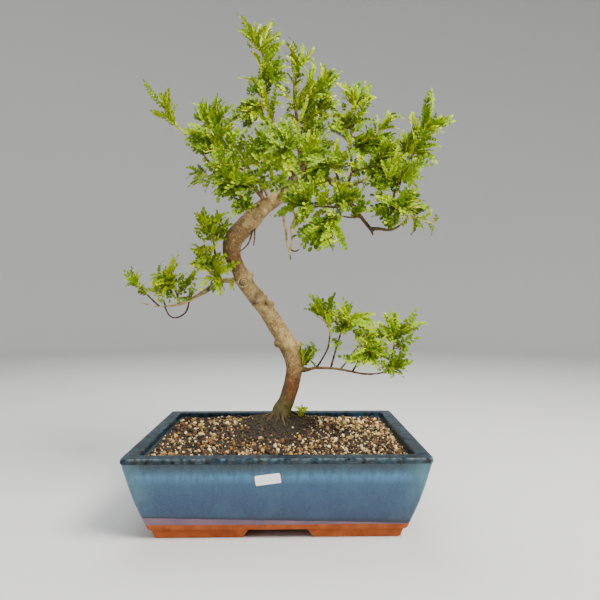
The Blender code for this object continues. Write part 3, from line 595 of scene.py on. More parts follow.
@dataclass(frozen=True)
class GlazeFinish:
    """Blue glaze that thins at edges, with a painted highlight along them, and stops above a bare orange foot."""

    edge: float = 18.8 * MM
    edge_waver: float = 0.7 * MM
    lip_foot: float = 95.0 * MM

    def material(self, effects: Effects) -> Material:
        """Builds the material.

        Args:
            effects: The shared effects.

        Returns:
            The material.
        """
        wires, shader, made = principled("blue_glaze")
        spot = wires.add("SeparateXYZ", {0: wires.place()})
        x, height = spot.outputs[0], spot.outputs[2]
        run = wires.add("TexNoise", {"Vector": wires.place((1.0, 1.0, 0.12)), "Scale": 190.0, "Detail": 4.0})
        warp = wires.times(wires.minus(run.outputs[0], 0.5), 4.5 * MM)
        level = wires.plus(height, warp)
        # The ramp's top stop, just under the lip, is a painted shadow band under the lip's overhang.
        wall = wires.ramp(wires.span(level, 8 * MM, 94 * MM), [
            (0.0, 28, 43, 69), (0.16, 38, 59, 89), (0.36, 41, 66, 98), (0.62, 45, 72, 102),
            (0.80, 44, 78, 108), (0.93, 62, 114, 146), (1.0, 34, 47, 53)])
        patches = wires.use(effects.mottle, scale=26.0, detail=4.0, contrast=2.6)
        wall = wires.mix(wires.span(patches, 0.35, 1.0, 0.0, 0.42), wall, ink(60, 92, 114))
        corner = wires.minus(wires.math("ABSOLUTE", x), wires.times(height, 0.31))
        thin = wires.times(wires.span(corner, 116 * MM, 146 * MM), wires.span(height, 25 * MM, 85 * MM, 0.15, 0.75))
        wall = wires.mix(thin, wall, ink(76, 116, 124))
        streaks = wires.span(run.outputs[0], 0.42, 0.66, 0.0, 0.3)
        wall = wires.mix(streaks, wall, ink(34, 54, 80))
        pale = wires.use(effects.specks, scale=900.0, share=0.35, size=0.42)
        wall = wires.mix(wires.times(pale, 0.35), wall, ink(88, 120, 138))
        dark = wires.use(effects.specks, scale=520.0, share=0.16, size=0.36)
        wall = wires.mix(wires.times(dark, 0.55), wall, ink(22, 30, 40))
        lip_mix = wires.use(effects.mottle, scale=120.0, detail=5.0, contrast=4.2, drift=2.0)
        lip = wires.mix(lip_mix, ink(12, 14, 16), ink(24, 49, 62))
        on_lip = wires.span(height, self.lip_foot - 0.5 * MM, self.lip_foot + 0.6 * MM)
        glaze = wires.mix(on_lip, wall, lip)
        # Sharp edges painted pale: partly thin glaze, partly a painted highlight along the edges.
        edge_thinning_and_highlight = wires.add("NewGeometry").outputs["Pointiness"]
        edge = wires.span(edge_thinning_and_highlight, 0.52, 0.57, 0.0, 0.6)
        edge_break = wires.use(effects.mottle, scale=160.0, detail=3.0, contrast=4.0, drift=5.0)
        glaze = wires.mix(wires.times(edge, edge_break), glaze, ink(134, 147, 149))
        waver = wires.use(effects.mottle, scale=34.0, detail=4.0, contrast=1.6, drift=9.0)
        line = wires.plus(height, wires.times(wires.minus(waver, 0.5), 2 * self.edge_waver))
        band_top = wires.minus(self.edge + 5.6 * MM, wires.times(x, 0.028))
        shade_depth = wires.plus(wires.times(x, 0.018), 6.0 * MM)
        rise = wires.minus(line, band_top)
        band = wires.mix(wires.span(patches, 0.2, 0.9), ink(121, 91, 107), ink(95, 76, 97))
        shaded = wires.span(wires.math("DIVIDE", rise, shade_depth), 0.0, 1.0, 0.8, 0.0)
        glaze = wires.mix(shaded, glaze, ink(19, 25, 40))
        glaze = wires.mix(wires.span(rise, -0.8 * MM, 0.3 * MM, 1.0, 0.0), glaze, band)
        clay_mix = wires.use(effects.mottle, scale=70.0, detail=5.0, contrast=2.4, drift=3.0)
        clay = wires.mix(clay_mix, ink(138, 67, 32), ink(182, 98, 52))
        grit = wires.use(effects.specks, scale=700.0, share=0.25, size=0.4)
        clay = wires.mix(wires.times(grit, 0.5), clay, ink(82, 40, 20))
        bare = wires.span(line, self.edge - 0.6 * MM, self.edge + 0.5 * MM, 1.0, 0.0)
        colour = wires.mix(bare, glaze, clay)
        rough = wires.plus(wires.times(bare, 0.55), wires.span(patches, 0.2, 0.9, 0.22, 0.34))
        grain = wires.use(effects.grain, scale=620.0, coarse=0.9)
        skin = wires.plus(wires.times(grain, wires.span(bare, 0.0, 1.0, 0.22, 0.8)), wires.times(bare, -0.9))
        join(wires, shader, Base_Color=colour, Roughness=rough, Normal=relief(wires, skin, 0.35 * MM),
             Coat_Weight=wires.span(wires.plus(bare, on_lip), 0.0, 1.0, 0.75, 0.0))
        shader.inputs["Specular IOR Level"].default_value = 0.12
        shader.inputs["Coat Roughness"].default_value = 0.2
        return made


@dataclass(frozen=True)
class BarkFinish:
    """Tan bark that the mesh paints darker, greener or redder by place."""

    def material(self, effects: Effects) -> Material:
        """Builds the material.

        Args:
            effects: The shared effects.

        Returns:
            The material.
        """
        wires, shader, made = principled("pepper_bark")
        tone = wires.painted("tone")
        base = wires.ramp(tone, [
            (0.0, 35, 24, 13), (0.22, 80, 55, 28), (0.5, 138, 105, 56), (0.78, 190, 161, 101),
            (1.0, 216, 193, 134)])
        patch = wires.use(effects.mottle, scale=150.0, detail=6.0, contrast=3.0)
        base = wires.mix(wires.span(patch, 0.3, 1.0, 0.0, 0.5), base, ink(88, 62, 31))
        light = wires.use(effects.mottle, scale=420.0, detail=4.0, contrast=3.4, drift=4.0)
        light_share = wires.times(wires.span(light, 0.5, 1.0, 0.0, 0.5), wires.span(tone, 0.1, 0.55, 0.2, 1.0))
        base = wires.mix(light_share, base, ink(214, 190, 132))
        warts = wires.use(effects.specks, scale=330.0, share=0.3, size=0.36)
        base = wires.mix(wires.times(warts, 0.55), base, ink(64, 42, 21))
        base = wires.mix(wires.painted("rust"), base, wires.mix(light, ink(126, 61, 18), ink(173, 109, 39)))
        base = wires.mix(wires.painted("moss"), base, wires.mix(patch, ink(47, 48, 13), ink(93, 89, 23)))
        # Near black where painted: dark bark, and painted shade in knot pits and in the healed cut's troughs and
        # crescent.
        base = wires.mix(wires.painted("soot"), base, ink(25, 15, 8))
        grain = wires.use(effects.grain, scale=1100.0, coarse=0.8)
        height = wires.plus(grain, wires.times(warts, 0.8))
        join(wires, shader, Base_Color=base, Roughness=wires.span(patch, 0.2, 0.9, 0.55, 0.8),
             Normal=relief(wires, height, 0.5 * MM))
        return made


@dataclass(frozen=True)
class LeafFinish:
    """Glossy pinnate leaflets, painted from lime when young to olive when old."""

    name: str
    stops: tuple[Stop, ...]

    def material(self, effects: Effects) -> Material:
        """Builds the material.

        Args:
            effects: The shared effects.

        Returns:
            The material.
        """
        wires, shader, made = principled(self.name)
        age = wires.painted("age")
        along, across = wires.painted("along"), wires.painted("across")
        blotch = wires.use(effects.mottle, scale=300.0, detail=2.0, contrast=1.8)
        tone = wires.plus(age, wires.span(blotch, 0.0, 1.0, -0.08, 0.08))
        green = wires.ramp(tone, self.stops)
        reach = wires.math("ABSOLUTE", across)
        rib = wires.span(reach, 0.02, 0.14, 1.0, 0.0)
        green = wires.mix(wires.times(rib, 0.4), green, ink(190, 196, 24))
        lean = wires.minus(wires.times(along, 5.5), wires.times(reach, 1.6))
        wave = wires.math("ABSOLUTE", wires.minus(wires.math("FRACT", lean), 0.5))
        vein = wires.span(wave, 0.0, 0.12, 1.0, 0.0)
        green = wires.mix(wires.times(vein, 0.15), green, ink(184, 190, 30))
        under = wires.span(wires.painted("under"), 0.5, 0.8)
        green = wires.mix(wires.times(under, 0.4), green, ink(128, 146, 26))
        height = wires.plus(wires.times(vein, -0.5), wires.times(rib, -0.8))
        join(wires, shader, Base_Color=green, Roughness=wires.span(under, 0.0, 1.0, 0.42, 0.64),
             Normal=relief(wires, height, 0.12 * MM))
        shader.inputs["Specular IOR Level"].default_value = 0.12
        return made


@dataclass(frozen=True)
class ShootFinish:
    """Skin of green stems and leaf stalks, redder where old."""

    def material(self, effects: Effects) -> Material:
        """Builds the material.

        Args:
            effects: The shared effects.

        Returns:
            The material.
        """
        wires, shader, made = principled("green_stalk")
        tone = wires.ramp(wires.painted("age"), [
            (0.0, 214, 208, 48), (0.45, 190, 172, 48), (0.75, 132, 92, 46), (1.0, 76, 50, 30)])
        patch = wires.use(effects.mottle, scale=500.0, detail=3.0, contrast=2.6)
        tone = wires.mix(wires.span(patch, 0.4, 1.0, 0.0, 0.4), tone, ink(214, 202, 104))
        join(wires, shader, Base_Color=tone, Roughness=wires.span(patch, 0.0, 1.0, 0.4, 0.6),
             Normal=relief(wires, wires.use(effects.grain, scale=1500.0), 0.1 * MM))
        return made


@dataclass(frozen=True)
class StoneFinish:
    """Porous grains, each with its own painted shade."""

    name: str
    stops: tuple[Stop, ...]

    def material(self, effects: Effects) -> Material:
        """Builds the material.

        Args:
            effects: The shared effects.

        Returns:
            The material.
        """
        wires, shader, made = principled(self.name)
        base = wires.ramp(wires.painted("shade"), self.stops)
        dust = wires.use(effects.mottle, scale=520.0, detail=4.0, contrast=2.4)
        base = wires.mix(wires.span(dust, 0.3, 1.0, 0.0, 0.4), base, ink(79, 59, 35))
        pores = wires.use(effects.specks, scale=1500.0, share=0.5, size=0.42)
        base = wires.mix(wires.times(pores, 0.5), base, ink(38, 25, 13))
        height = wires.minus(wires.use(effects.grain, scale=1400.0, coarse=0.9), pores)
        join(wires, shader, Base_Color=base, Roughness=wires.span(dust, 0.0, 1.0, 0.8, 0.95),
             Normal=relief(wires, height, 0.3 * MM))
        return made


@dataclass(frozen=True)
class LabelFinish:
    """Blank white paper with a little dirt."""

    def material(self, effects: Effects) -> Material:
        """Builds the material.

        Args:
            effects: The shared effects.

        Returns:
            The material.
        """
        wires, shader, made = principled("blank_paper")
        dirt = wires.use(effects.mottle, scale=180.0, detail=4.0, contrast=2.0)
        colour = wires.mix(wires.span(dirt, 0.45, 1.0, 0.0, 0.35), ink(252, 252, 250), ink(222, 220, 206))
        join(wires, shader, Base_Color=colour, Roughness=wires.span(dirt, 0.0, 1.0, 0.5, 0.65),
             Normal=relief(wires, wires.use(effects.grain, scale=2200.0), 0.06 * MM))
        return made


@dataclass(frozen=True)
class MeshFinish:
    """Dusty black plastic of the drainage screens."""

    def material(self, effects: Effects) -> Material:
        """Builds the material.

        Args:
            effects: The shared effects.

        Returns:
            The material.
        """
        wires, shader, made = principled("black_mesh")
        dust = wires.use(effects.mottle, scale=260.0, detail=4.0, contrast=2.6)
        join(wires, shader, Base_Color=wires.mix(dust, ink(26, 26, 27), ink(66, 58, 50)),
             Roughness=wires.span(dust, 0.0, 1.0, 0.5, 0.85),
             Normal=relief(wires, wires.use(effects.grain, scale=1600.0), 0.08 * MM))
        return made


# The pieces


@dataclass
class Tray:
    """The glazed tray, with soft edges, a hollow foot and two drain holes.

    Its levels run up the outside and down the inside, each a height, a length and a corner's radius.
    """

    longer: float = 82.0
    levels: tuple[Triple, ...] = (
        (0.0, 290.0, 3.6), (0.8, 291.4, 4.0), (11.5, 298.2, 4.0), (11.8, 303.0, 4.2), (12.8, 305.2, 4.4),
        (20.0, 310.5, 4.4), (35.0, 320.9, 4.4), (50.0, 330.5, 4.4), (70.0, 341.0, 4.4), (92.6, 351.4, 4.4),
        (94.2, 351.8, 4.2), (95.0, 352.6, 4.2), (95.8, 353.8, 4.2), (98.0, 354.0, 4.4), (100.3, 353.8, 4.2),
        (101.2, 352.6, 4.0), (101.5, 350.6, 3.8), (101.5, 323.4, 4.0), (101.1, 321.2, 4.0), (100.2, 319.6, 4.0),
        (60.0, 306.9, 4.0), (18.0, 293.6, 4.0), (16.3, 291.6, 3.6), (16.0, 288.0, 3.2))
    recess: Triple = (262.0, 180.0, 11.0)
    cut_height: float = 10.2
    front_cut: Pair = (86.0, 69.0)
    side_cut: Pair = (58.0, 46.0)
    drain: Pair = (75.0, 11.0)
    recess_narrow: Pair = (0.985, 0.98)
    through: float = 600.0
    soft_edge: float = 0.6

    def shell(self) -> Piece:
        """The tray before its foot and floor are cut.

        Returns:
            The uncut tray.
        """
        shape = bmesh.new()
        rings = [[shape.verts.new((x, y, height * MM)) for x, y in rounded(length, length - self.longer, radius)]
                 for height, length, radius in self.levels]
        for low, high in zip(rings, rings[1:]):
            for i in range(len(low)):
                j = (i + 1) % len(low)
                shape.faces.new((low[i], low[j], high[j], high[i]))
        shape.faces.new(reversed(rings[0]))
        shape.faces.new(rings[-1])
        return from_bmesh("tray", shape)

    def wedge(self, size: Triple, narrow: Pair) -> Piece:
        """A cutter that starts below the foot and narrows upwards.

        Args:
            size: Length, depth and height in millimetres.
            narrow: Shares of length and depth at its top.

        Returns:
            The cutter.
        """
        shape = bmesh.new()
        bmesh.ops.create_cube(shape, size=1.0)
        for vert in shape.verts:
            share = narrow if vert.co.z > 0 else (1.0, 1.0)
            low = -2.0 if vert.co.z < 0 else size[2]
            vert.co = Vector((vert.co.x * size[0] * share[0], vert.co.y * size[1] * share[1], low)) * MM
        return from_bmesh("tray_cutter", shape)

    def drain_cutter(self, side: int) -> Piece:
        """A cutter for one drain hole.

        Args:
            side: -1 for the left hole, 1 for the right.

        Returns:
            The cutter.
        """
        place, radius = self.drain
        shape = bmesh.new()
        bmesh.ops.create_cone(shape, cap_ends=True, segments=48, radius1=radius * MM, radius2=radius * MM,
                              depth=self.through * MM)
        bmesh.ops.translate(shape, verts=shape.verts[:], vec=(side * place * MM, 0, 0))
        return from_bmesh("tray_cutter", shape)

    def build(self, glaze: Material) -> Piece:
        """Makes the finished tray.

        Args:
            glaze: Its material.

        Returns:
            The tray.
        """
        tray = self.shell()
        front, side = self.front_cut, self.side_cut
        cutters = [self.wedge(self.recess, self.recess_narrow),
                   self.wedge((front[0], self.through, self.cut_height), (front[1] / front[0], 1.0)),
                   self.wedge((self.through, side[0], self.cut_height), (1.0, side[1] / side[0])),
                   self.drain_cutter(-1), self.drain_cutter(1)]
        for cutter in cutters:
            modify(tray, "BOOLEAN", operation="DIFFERENCE", object=cutter)
        applied(tray)
        for cutter in cutters:
            bpy.data.objects.remove(cutter)
        modify(tray, "BEVEL", width=self.soft_edge * MM, segments=2, limit_method="ANGLE",
               angle_limit=math.radians(50))
        applied(tray)
        tray.data.materials.clear()
        tray.data.materials.append(glaze)
        tray.data.shade_smooth()
        tray.data.set_sharp_from_angle(angle=math.radians(40))
        modify(tray, "WEIGHTED_NORMAL", keep_sharp=True)
        applied(tray)
        return settle(tray, "glazed_clay", "pot")


@dataclass
class Label:
    """The blank paper label on the front wall."""

    size: Triple = (29.0, 12.2, 0.35)
    corner: float = 1.6
    turn: float = math.radians(8)
    slope: float = math.atan2(10.75, 43.5)
    flat: float = 0.55
    curl: float = 0.18

    def build(self, paper: Material) -> Piece:
        """Makes the label with round corners and one end a little lifted.

        Args:
            paper: Its material.

        Returns:
            The label.
        """
        length, thick = self.size[0] * MM, self.size[2] * MM
        shape = bmesh.new()
        outline = rounded(*self.size[:2], self.corner)
        face = shape.faces.new([shape.verts.new((x, y, 0.0)) for x, y in outline])
        lid = bmesh.ops.extrude_face_region(shape, geom=[face])
        for item in lid["geom"]:
            if isinstance(item, bmesh.types.BMVert):
                item.co.z = thick
        for cut in range(1, 10):
            everything = shape.verts[:] + shape.edges[:] + shape.faces[:]
            bmesh.ops.bisect_plane(shape, geom=everything, plane_co=((cut / 10 - 0.5) * length, 0, 0),
                                   plane_no=(1, 0, 0))
        for vert in shape.verts:
            end = max(0.0, abs(vert.co.x) / (length / 2) - self.flat) / (1 - self.flat)
            vert.co.z += self.curl * MM * end ** 2
        low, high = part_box("label")
        centre = (Vector(low) + Vector(high)) / 2
        lean = Matrix.Rotation(math.pi / 2 + self.slope, 4, "X") @ Matrix.Rotation(self.turn, 4, "Z")
        shape.transform(Matrix.Translation(centre) @ lean @ Matrix.Translation((0, 0, -thick / 2)))
        label = from_bmesh("label_sheet", shape)
        label.data.materials.append(paper)
        return settle(label, "paper_label", "label")


@dataclass
class Screens:
    """The plastic mesh over each drain hole."""

    cells: int = 13
    strand: float = 0.7
    weave: float = 0.12
    waves: float = 40.0

    def build(self, plastic: Material) -> None:
        """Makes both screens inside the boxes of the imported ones.

        Args:
            plastic: Their material.
        """
        for side in ("left", "right"):
            low, high = (Vector(corner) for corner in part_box("drain_screen_" + side))
            middle, size = (low + high) / 2, high - low
            shape = bmesh.new()
            bmesh.ops.create_grid(shape, x_segments=self.cells, y_segments=self.cells, size=0.5)
            for vert in shape.verts:
                rise = math.sin(vert.co.x * self.waves) * math.sin(vert.co.y * self.waves) * self.weave * MM
                vert.co = Vector((vert.co.x * (size.x - MM), vert.co.y * (size.y - MM), rise)) + middle
            screen = from_bmesh("screen_" + side, shape)
            modify(screen, "WIREFRAME", thickness=self.strand * MM, use_even_offset=False)
            applied(screen)
            screen.data.materials.append(plastic)
            settle(screen, "mesh_plastic", "drain_screen_" + side)


@dataclass
class Soil:
    """Soil heaped to the trunk: a bed, loose granules of three kinds, and moss and rootlets round the trunk.

    Sizes of granules and crumbs are their greatest radii. The bed's square corners start at shares of its sides.
    Shares by kind are of pale grains away from the moss and within it, and of clay.
    """

    edge: float = 95.0
    rise: float = 24.0
    centre: Pair = (0.0, 24.0)
    spread: Pair = (58.0, 40.0)
    floor: float = 16.6
    floor_size: Pair = (290.0, 208.0)
    top_size: Pair = (316.6, 234.6)
    cells: tuple[int, int] = (90, 66)
    granules: int = 2850
    crumbs: int = 4200
    grain_size: Pair = (1.3, 4.1)
    crumb_size: Pair = (0.8, 1.7)
    grain_draw: Pair = (7.0, 0.31)
    rim_gap: float = 1.2
    sunk: float = 2.0
    square: Pair = (0.97, 0.96)
    stretch: Pair = (0.66, 1.14)
    crumb_rise: Pair = (0.4, 2.6)
    grain_rise: Pair = (0.1, 0.8)
    pale_share: Pair = (0.21, 0.04)
    clay_share: float = 0.34
    moss_from: float = 0.3
    tufts: int = 3600
    tuft_spread: Pair = (30.0, 25.0)
    tuft_width: Pair = (0.35, 0.8)
    tuft_height: Pair = (1.0, 3.4)
    roots: int = 34
    root_radius: Pair = (0.3, 1.1)
    main_root_radius: Pair = (1.4, 2.3)
    root_reach: Pair = (16.0, 46.0)
    moss_centre: Pair = (-4.0, 8.0)
    moss_spread: Pair = (40.0, 34.0)
    trunk: Pair = (3.0, 26.0)

    @staticmethod
    def off(x: Numbers, y: Numbers, centre: Pair, spread: Pair) -> Numbers:
        """How far a place is from a centre, in spreads, squared."""
        return ((x - centre[0]) / spread[0]) ** 2 + ((y - centre[1]) / spread[1]) ** 2

    def height(self, x: Numbers, y: Numbers) -> Numbers:
        """Height of the soil in millimetres, without its granules."""
        return self.edge + self.rise * np.exp(-0.5 * self.off(x, y, self.centre, self.spread))

    def mossy(self, x: Numbers, y: Numbers) -> Numbers:
        """How mossy and dark the soil is at a place, from 0 to 1."""
        return np.exp(-0.5 * self.off(x, y, self.moss_centre, self.moss_spread) ** 1.4)

    def bed(self, stone: Material) -> Piece:
        """The body of the soil under its granules.

        Args:
            stone: Its material.

        Returns:
            The bed.
        """
        nx, ny = self.cells
        gx, gy = np.meshgrid(np.linspace(-1, 1, nx), np.linspace(-1, 1, ny), indexing="ij")
        past = [np.maximum(np.abs(g) - inner, 0) for g, inner in zip((gx, gy), self.square)]
        corner = np.clip(np.hypot(past[0] / (1 - self.square[0]), past[1] / (1 - self.square[1])), 1.0, None)
        x, y = (np.sign(g) * np.where(over > 0, inner + over / corner, np.abs(g)) * size / 2
                for g, over, inner, size in zip((gx, gy), past, self.square, self.top_size))
        flat = np.stack([x.ravel(), y.ravel(), np.zeros(x.size)], 1)
        bumps = swarm(flat, 7.0) * 1.1 + swarm(flat, 3.0, 11.0) * 0.7
        z = self.height(x, y) - self.sunk + bumps.reshape(x.shape) + 1.4 * self.mossy(x, y)
        top = np.stack([x, y, z], 2).reshape(-1, 3)
        scale = np.array([self.floor_size[0] / self.top_size[0], self.floor_size[1] / self.top_size[1], 0.0])
        bottom = top * scale + (0.0, 0.0, self.floor)
        i, j = pairs_of(nx - 1, ny - 1)
        a = (i * ny + j).ravel()
        b, c, d = a + ny, a + ny + 1, a + 1
        sheet = quads(a, b, c, d)
        rim = np.concatenate([np.arange(0, nx * ny, ny), (nx - 1) * ny + np.arange(1, ny),
                              np.arange((nx - 1) * ny - 1, -1, -ny), np.arange(ny - 2, 0, -1)])
        following = np.roll(rim, -1)
        count = nx * ny
        walls = quads(rim + count, following + count, following, rim)
        stock = Stock()
        stock.add(np.vstack([top, bottom]) * MM, np.vstack([sheet, sheet[:, ::-1] + count, walls]),
                  shade=np.concatenate([np.clip(0.4 - 0.35 * self.mossy(x, y).ravel(), 0, 1), np.zeros(count)]))
        return settle(stock.make("soil_bed", [stone]), "bonsai_soil", "soil")

    @staticmethod
    def grain_forms(chance: Chance, fineness: int) -> tuple[list[Numbers], Numbers]:
        """Twelve broken grain shapes of one radius, and their triangles.

        Args:
            chance: Source of its random draws.
            fineness: How fine each shape is.

        Returns:
            Points of each shape, and the triangles of all.
        """
        points, rows = ball(fineness)
        forms = []
        for number in range(12):
            lumps = 1.0 + 0.24 * swarm(points, 0.8, number * 7.3) + 0.08 * chance.uniform(-1, 1, len(points))
            planes = unit(chance.normal(size=(8, 3)))
            facing = np.maximum(points @ planes.T, 0.05)
            reach = np.min(np.where(facing > 0.05, chance.uniform(0.62, 0.86, 8) / facing, 9.0), axis=1)
            forms.append(points * np.minimum(lumps, reach)[:, None])
        return forms, rows

    def scatter(self, stones: dict[str, Material]) -> None:
        """Strews the granules over the bed, a piece for each kind.

        Args:
            stones: Materials by the name of the piece.
        """
        chance = np.random.default_rng(SEED)
        coarse, fine = self.grain_forms(chance, 2), self.grain_forms(chance, 1)
        stocks = {name: Stock() for name in stones}
        names = list(stones)
        for number in range(self.granules + self.crumbs):
            crumb = number >= self.granules
            forms, rows = fine if crumb else coarse
            size = chance.uniform(*self.crumb_size) if crumb else min(
                max(chance.gamma(*self.grain_draw), self.grain_size[0]), self.grain_size[1])
            x = chance.uniform(-1, 1) * (self.top_size[0] / 2 - size - self.rim_gap)
            y = chance.uniform(-1, 1) * (self.top_size[1] / 2 - size - self.rim_gap)
            moss = float(self.mossy(x, y))
            if chance.random() < 0.8 * moss ** 0.6:
                continue
            if moss > self.moss_from:
                size = min(size, 2.4)
            stretch = chance.uniform(*self.stretch, 3)
            spin = np.array(Quaternion(unit(chance.normal(size=4))).to_matrix())
            form = (forms[int(chance.integers(len(forms)))] * stretch) @ spin.T * size
            rise = chance.uniform(*self.crumb_rise) if crumb else size * chance.uniform(*self.grain_rise)
            z = float(self.height(x, y)) - self.sunk + rise
            pale, scarce = self.pale_share
            pale = scarce if moss >= self.moss_from else pale + 0.15 * max(0.0, min(1.0, (x + 30) / 90))
            weights = np.array([pale, self.clay_share, 1.0 - self.clay_share - pale])
            kind = names[int(chance.choice(3, p=weights))]
            stocks[kind].add((form + (x, y, z)) * MM, rows, shade=float(chance.uniform(0.0, 1.0)))
        for name, stock in stocks.items():
            piece = settle(stock.make(name, [stones[name]]), "bonsai_soil")
            piece.data.set_sharp_from_angle(angle=math.radians(32))

    def moss(self, green: Material) -> None:
        """Tufts of moss and dead fibre over the heap round the trunk.

        Args:
            green: Its material.
        """
        chance = np.random.default_rng(SEED + 1)
        stock = Stock()
        rows = np.array([[0, 2, 1], [0, 1, 3], [1, 2, 3], [2, 0, 3]])
        for _ in range(self.tufts):
            x, y = (middle + chance.normal() * wide for middle, wide in zip(self.moss_centre, self.tuft_spread))
            if chance.random() > self.mossy(x, y) ** 0.5 or math.dist((x, y), self.trunk) < 13:
                continue
            turn = chance.uniform(0, math.tau)
            wide, tall = chance.uniform(*self.tuft_width), chance.uniform(*self.tuft_height)
            corners = [(math.cos(turn + k * math.tau / 3) * wide, math.sin(turn + k * math.tau / 3) * wide, 0.0)
                       for k in range(3)]
            points = np.array(corners + [(chance.normal() * 0.9, chance.normal() * 0.9, tall)])
            points += (x, y, float(self.height(x, y)) - 1.2)
            stock.add(points * MM, rows, shade=float(chance.beta(1.6, 2.0)))
        settle(stock.make("moss_tufts", [green]), "bonsai_soil")

    def rootlets(self, bark: Material) -> None:
        """Fine dark roots that creep over the heap from the trunk.

        Args:
            bark: Their material.
        """
        chance = np.random.default_rng(SEED + 2)
        stock = Stock()
        for number in range(self.roots):
            turn = chance.uniform(0, math.tau)
            thick = chance.uniform(*(self.root_radius if number > 6 else self.main_root_radius))
            reach = chance.uniform(*self.root_reach)
            x, y = self.trunk[0] + 12 * math.cos(turn), self.trunk[1] + 12 * math.sin(turn)
            route = []
            for step in range(9):
                share = step / 8
                rise = (1 - share) ** 3 * 5.0 - share ** 3 * 2.4 * thick
                route.append((x, y, float(self.height(x, y)) - 0.6 + rise, thick * (1 - 0.75 * share)))
                turn += chance.normal() * 0.28
                x += math.cos(turn) * reach / 8
                y += math.sin(turn) * reach / 8
            points, rows = sweep(smooth_route(route, 2.0), 6)
            stock.add(points, rows, tone=float(chance.uniform(0.0, 0.24)), rust=float(chance.uniform(0.0, 0.3)),
                      moss=float(chance.uniform(0.2, 0.8)), soot=0.3)
        settle(stock.make("rootlets", [bark]), "bark")


class Wood(Enum):
    """Kinds of wood, by the shade of their bark at the base and the tip."""

    TRUNK = (0.70, 0.62)
    LIMB = (0.46, 0.32)
    PALE = (0.86, 0.96)
    FADING = (0.62, 0.20)
    TWIG = (0.26, 0.20)
    DARK = (0.10, 0.12)


TRUNK: list[Rung] = [
    (3, 27, 78, 15), (3, 26, 101, 15.5), (2, 25, 121, 14), (9, 24, 137, 11), (15, 24, 156, 11.3),
    (20, 22, 180, 11.4), (18, 20, 196, 11.8), (14, 18, 210, 12.8), (8, 15, 223, 12.8), (-3, 11, 242, 12.2),
    (-19, 5, 267, 11.2), (-31, 0, 283, 11.8), (-42, -4, 297, 10.9), (-50, -8, 311, 11), (-58, -12, 328, 9.6),
    (-65, -16, 346, 11.8), (-60, -24, 363, 12.6), (-42, -34, 380, 13), (-24, -38, 399, 11.3), (-5, -36, 412, 8.8),
    (13, -27, 428, 8.4), (25, -18, 443, 6.4),
]


@dataclass(frozen=True)
class Limb:
    """A limb or twig: its radii at the base and the tip, its kind of wood and its route, in millimetres."""

    base: float
    tip: float
    wood: Wood
    route: list[Spot]

    def rows(self) -> list[Rung]:
        """Its route with a radius at each point, in millimetres."""
        last = len(self.route) - 1
        return [(*spot, self.base + (self.tip - self.base) * (i / last) ** 0.8) for i, spot in enumerate(self.route)]


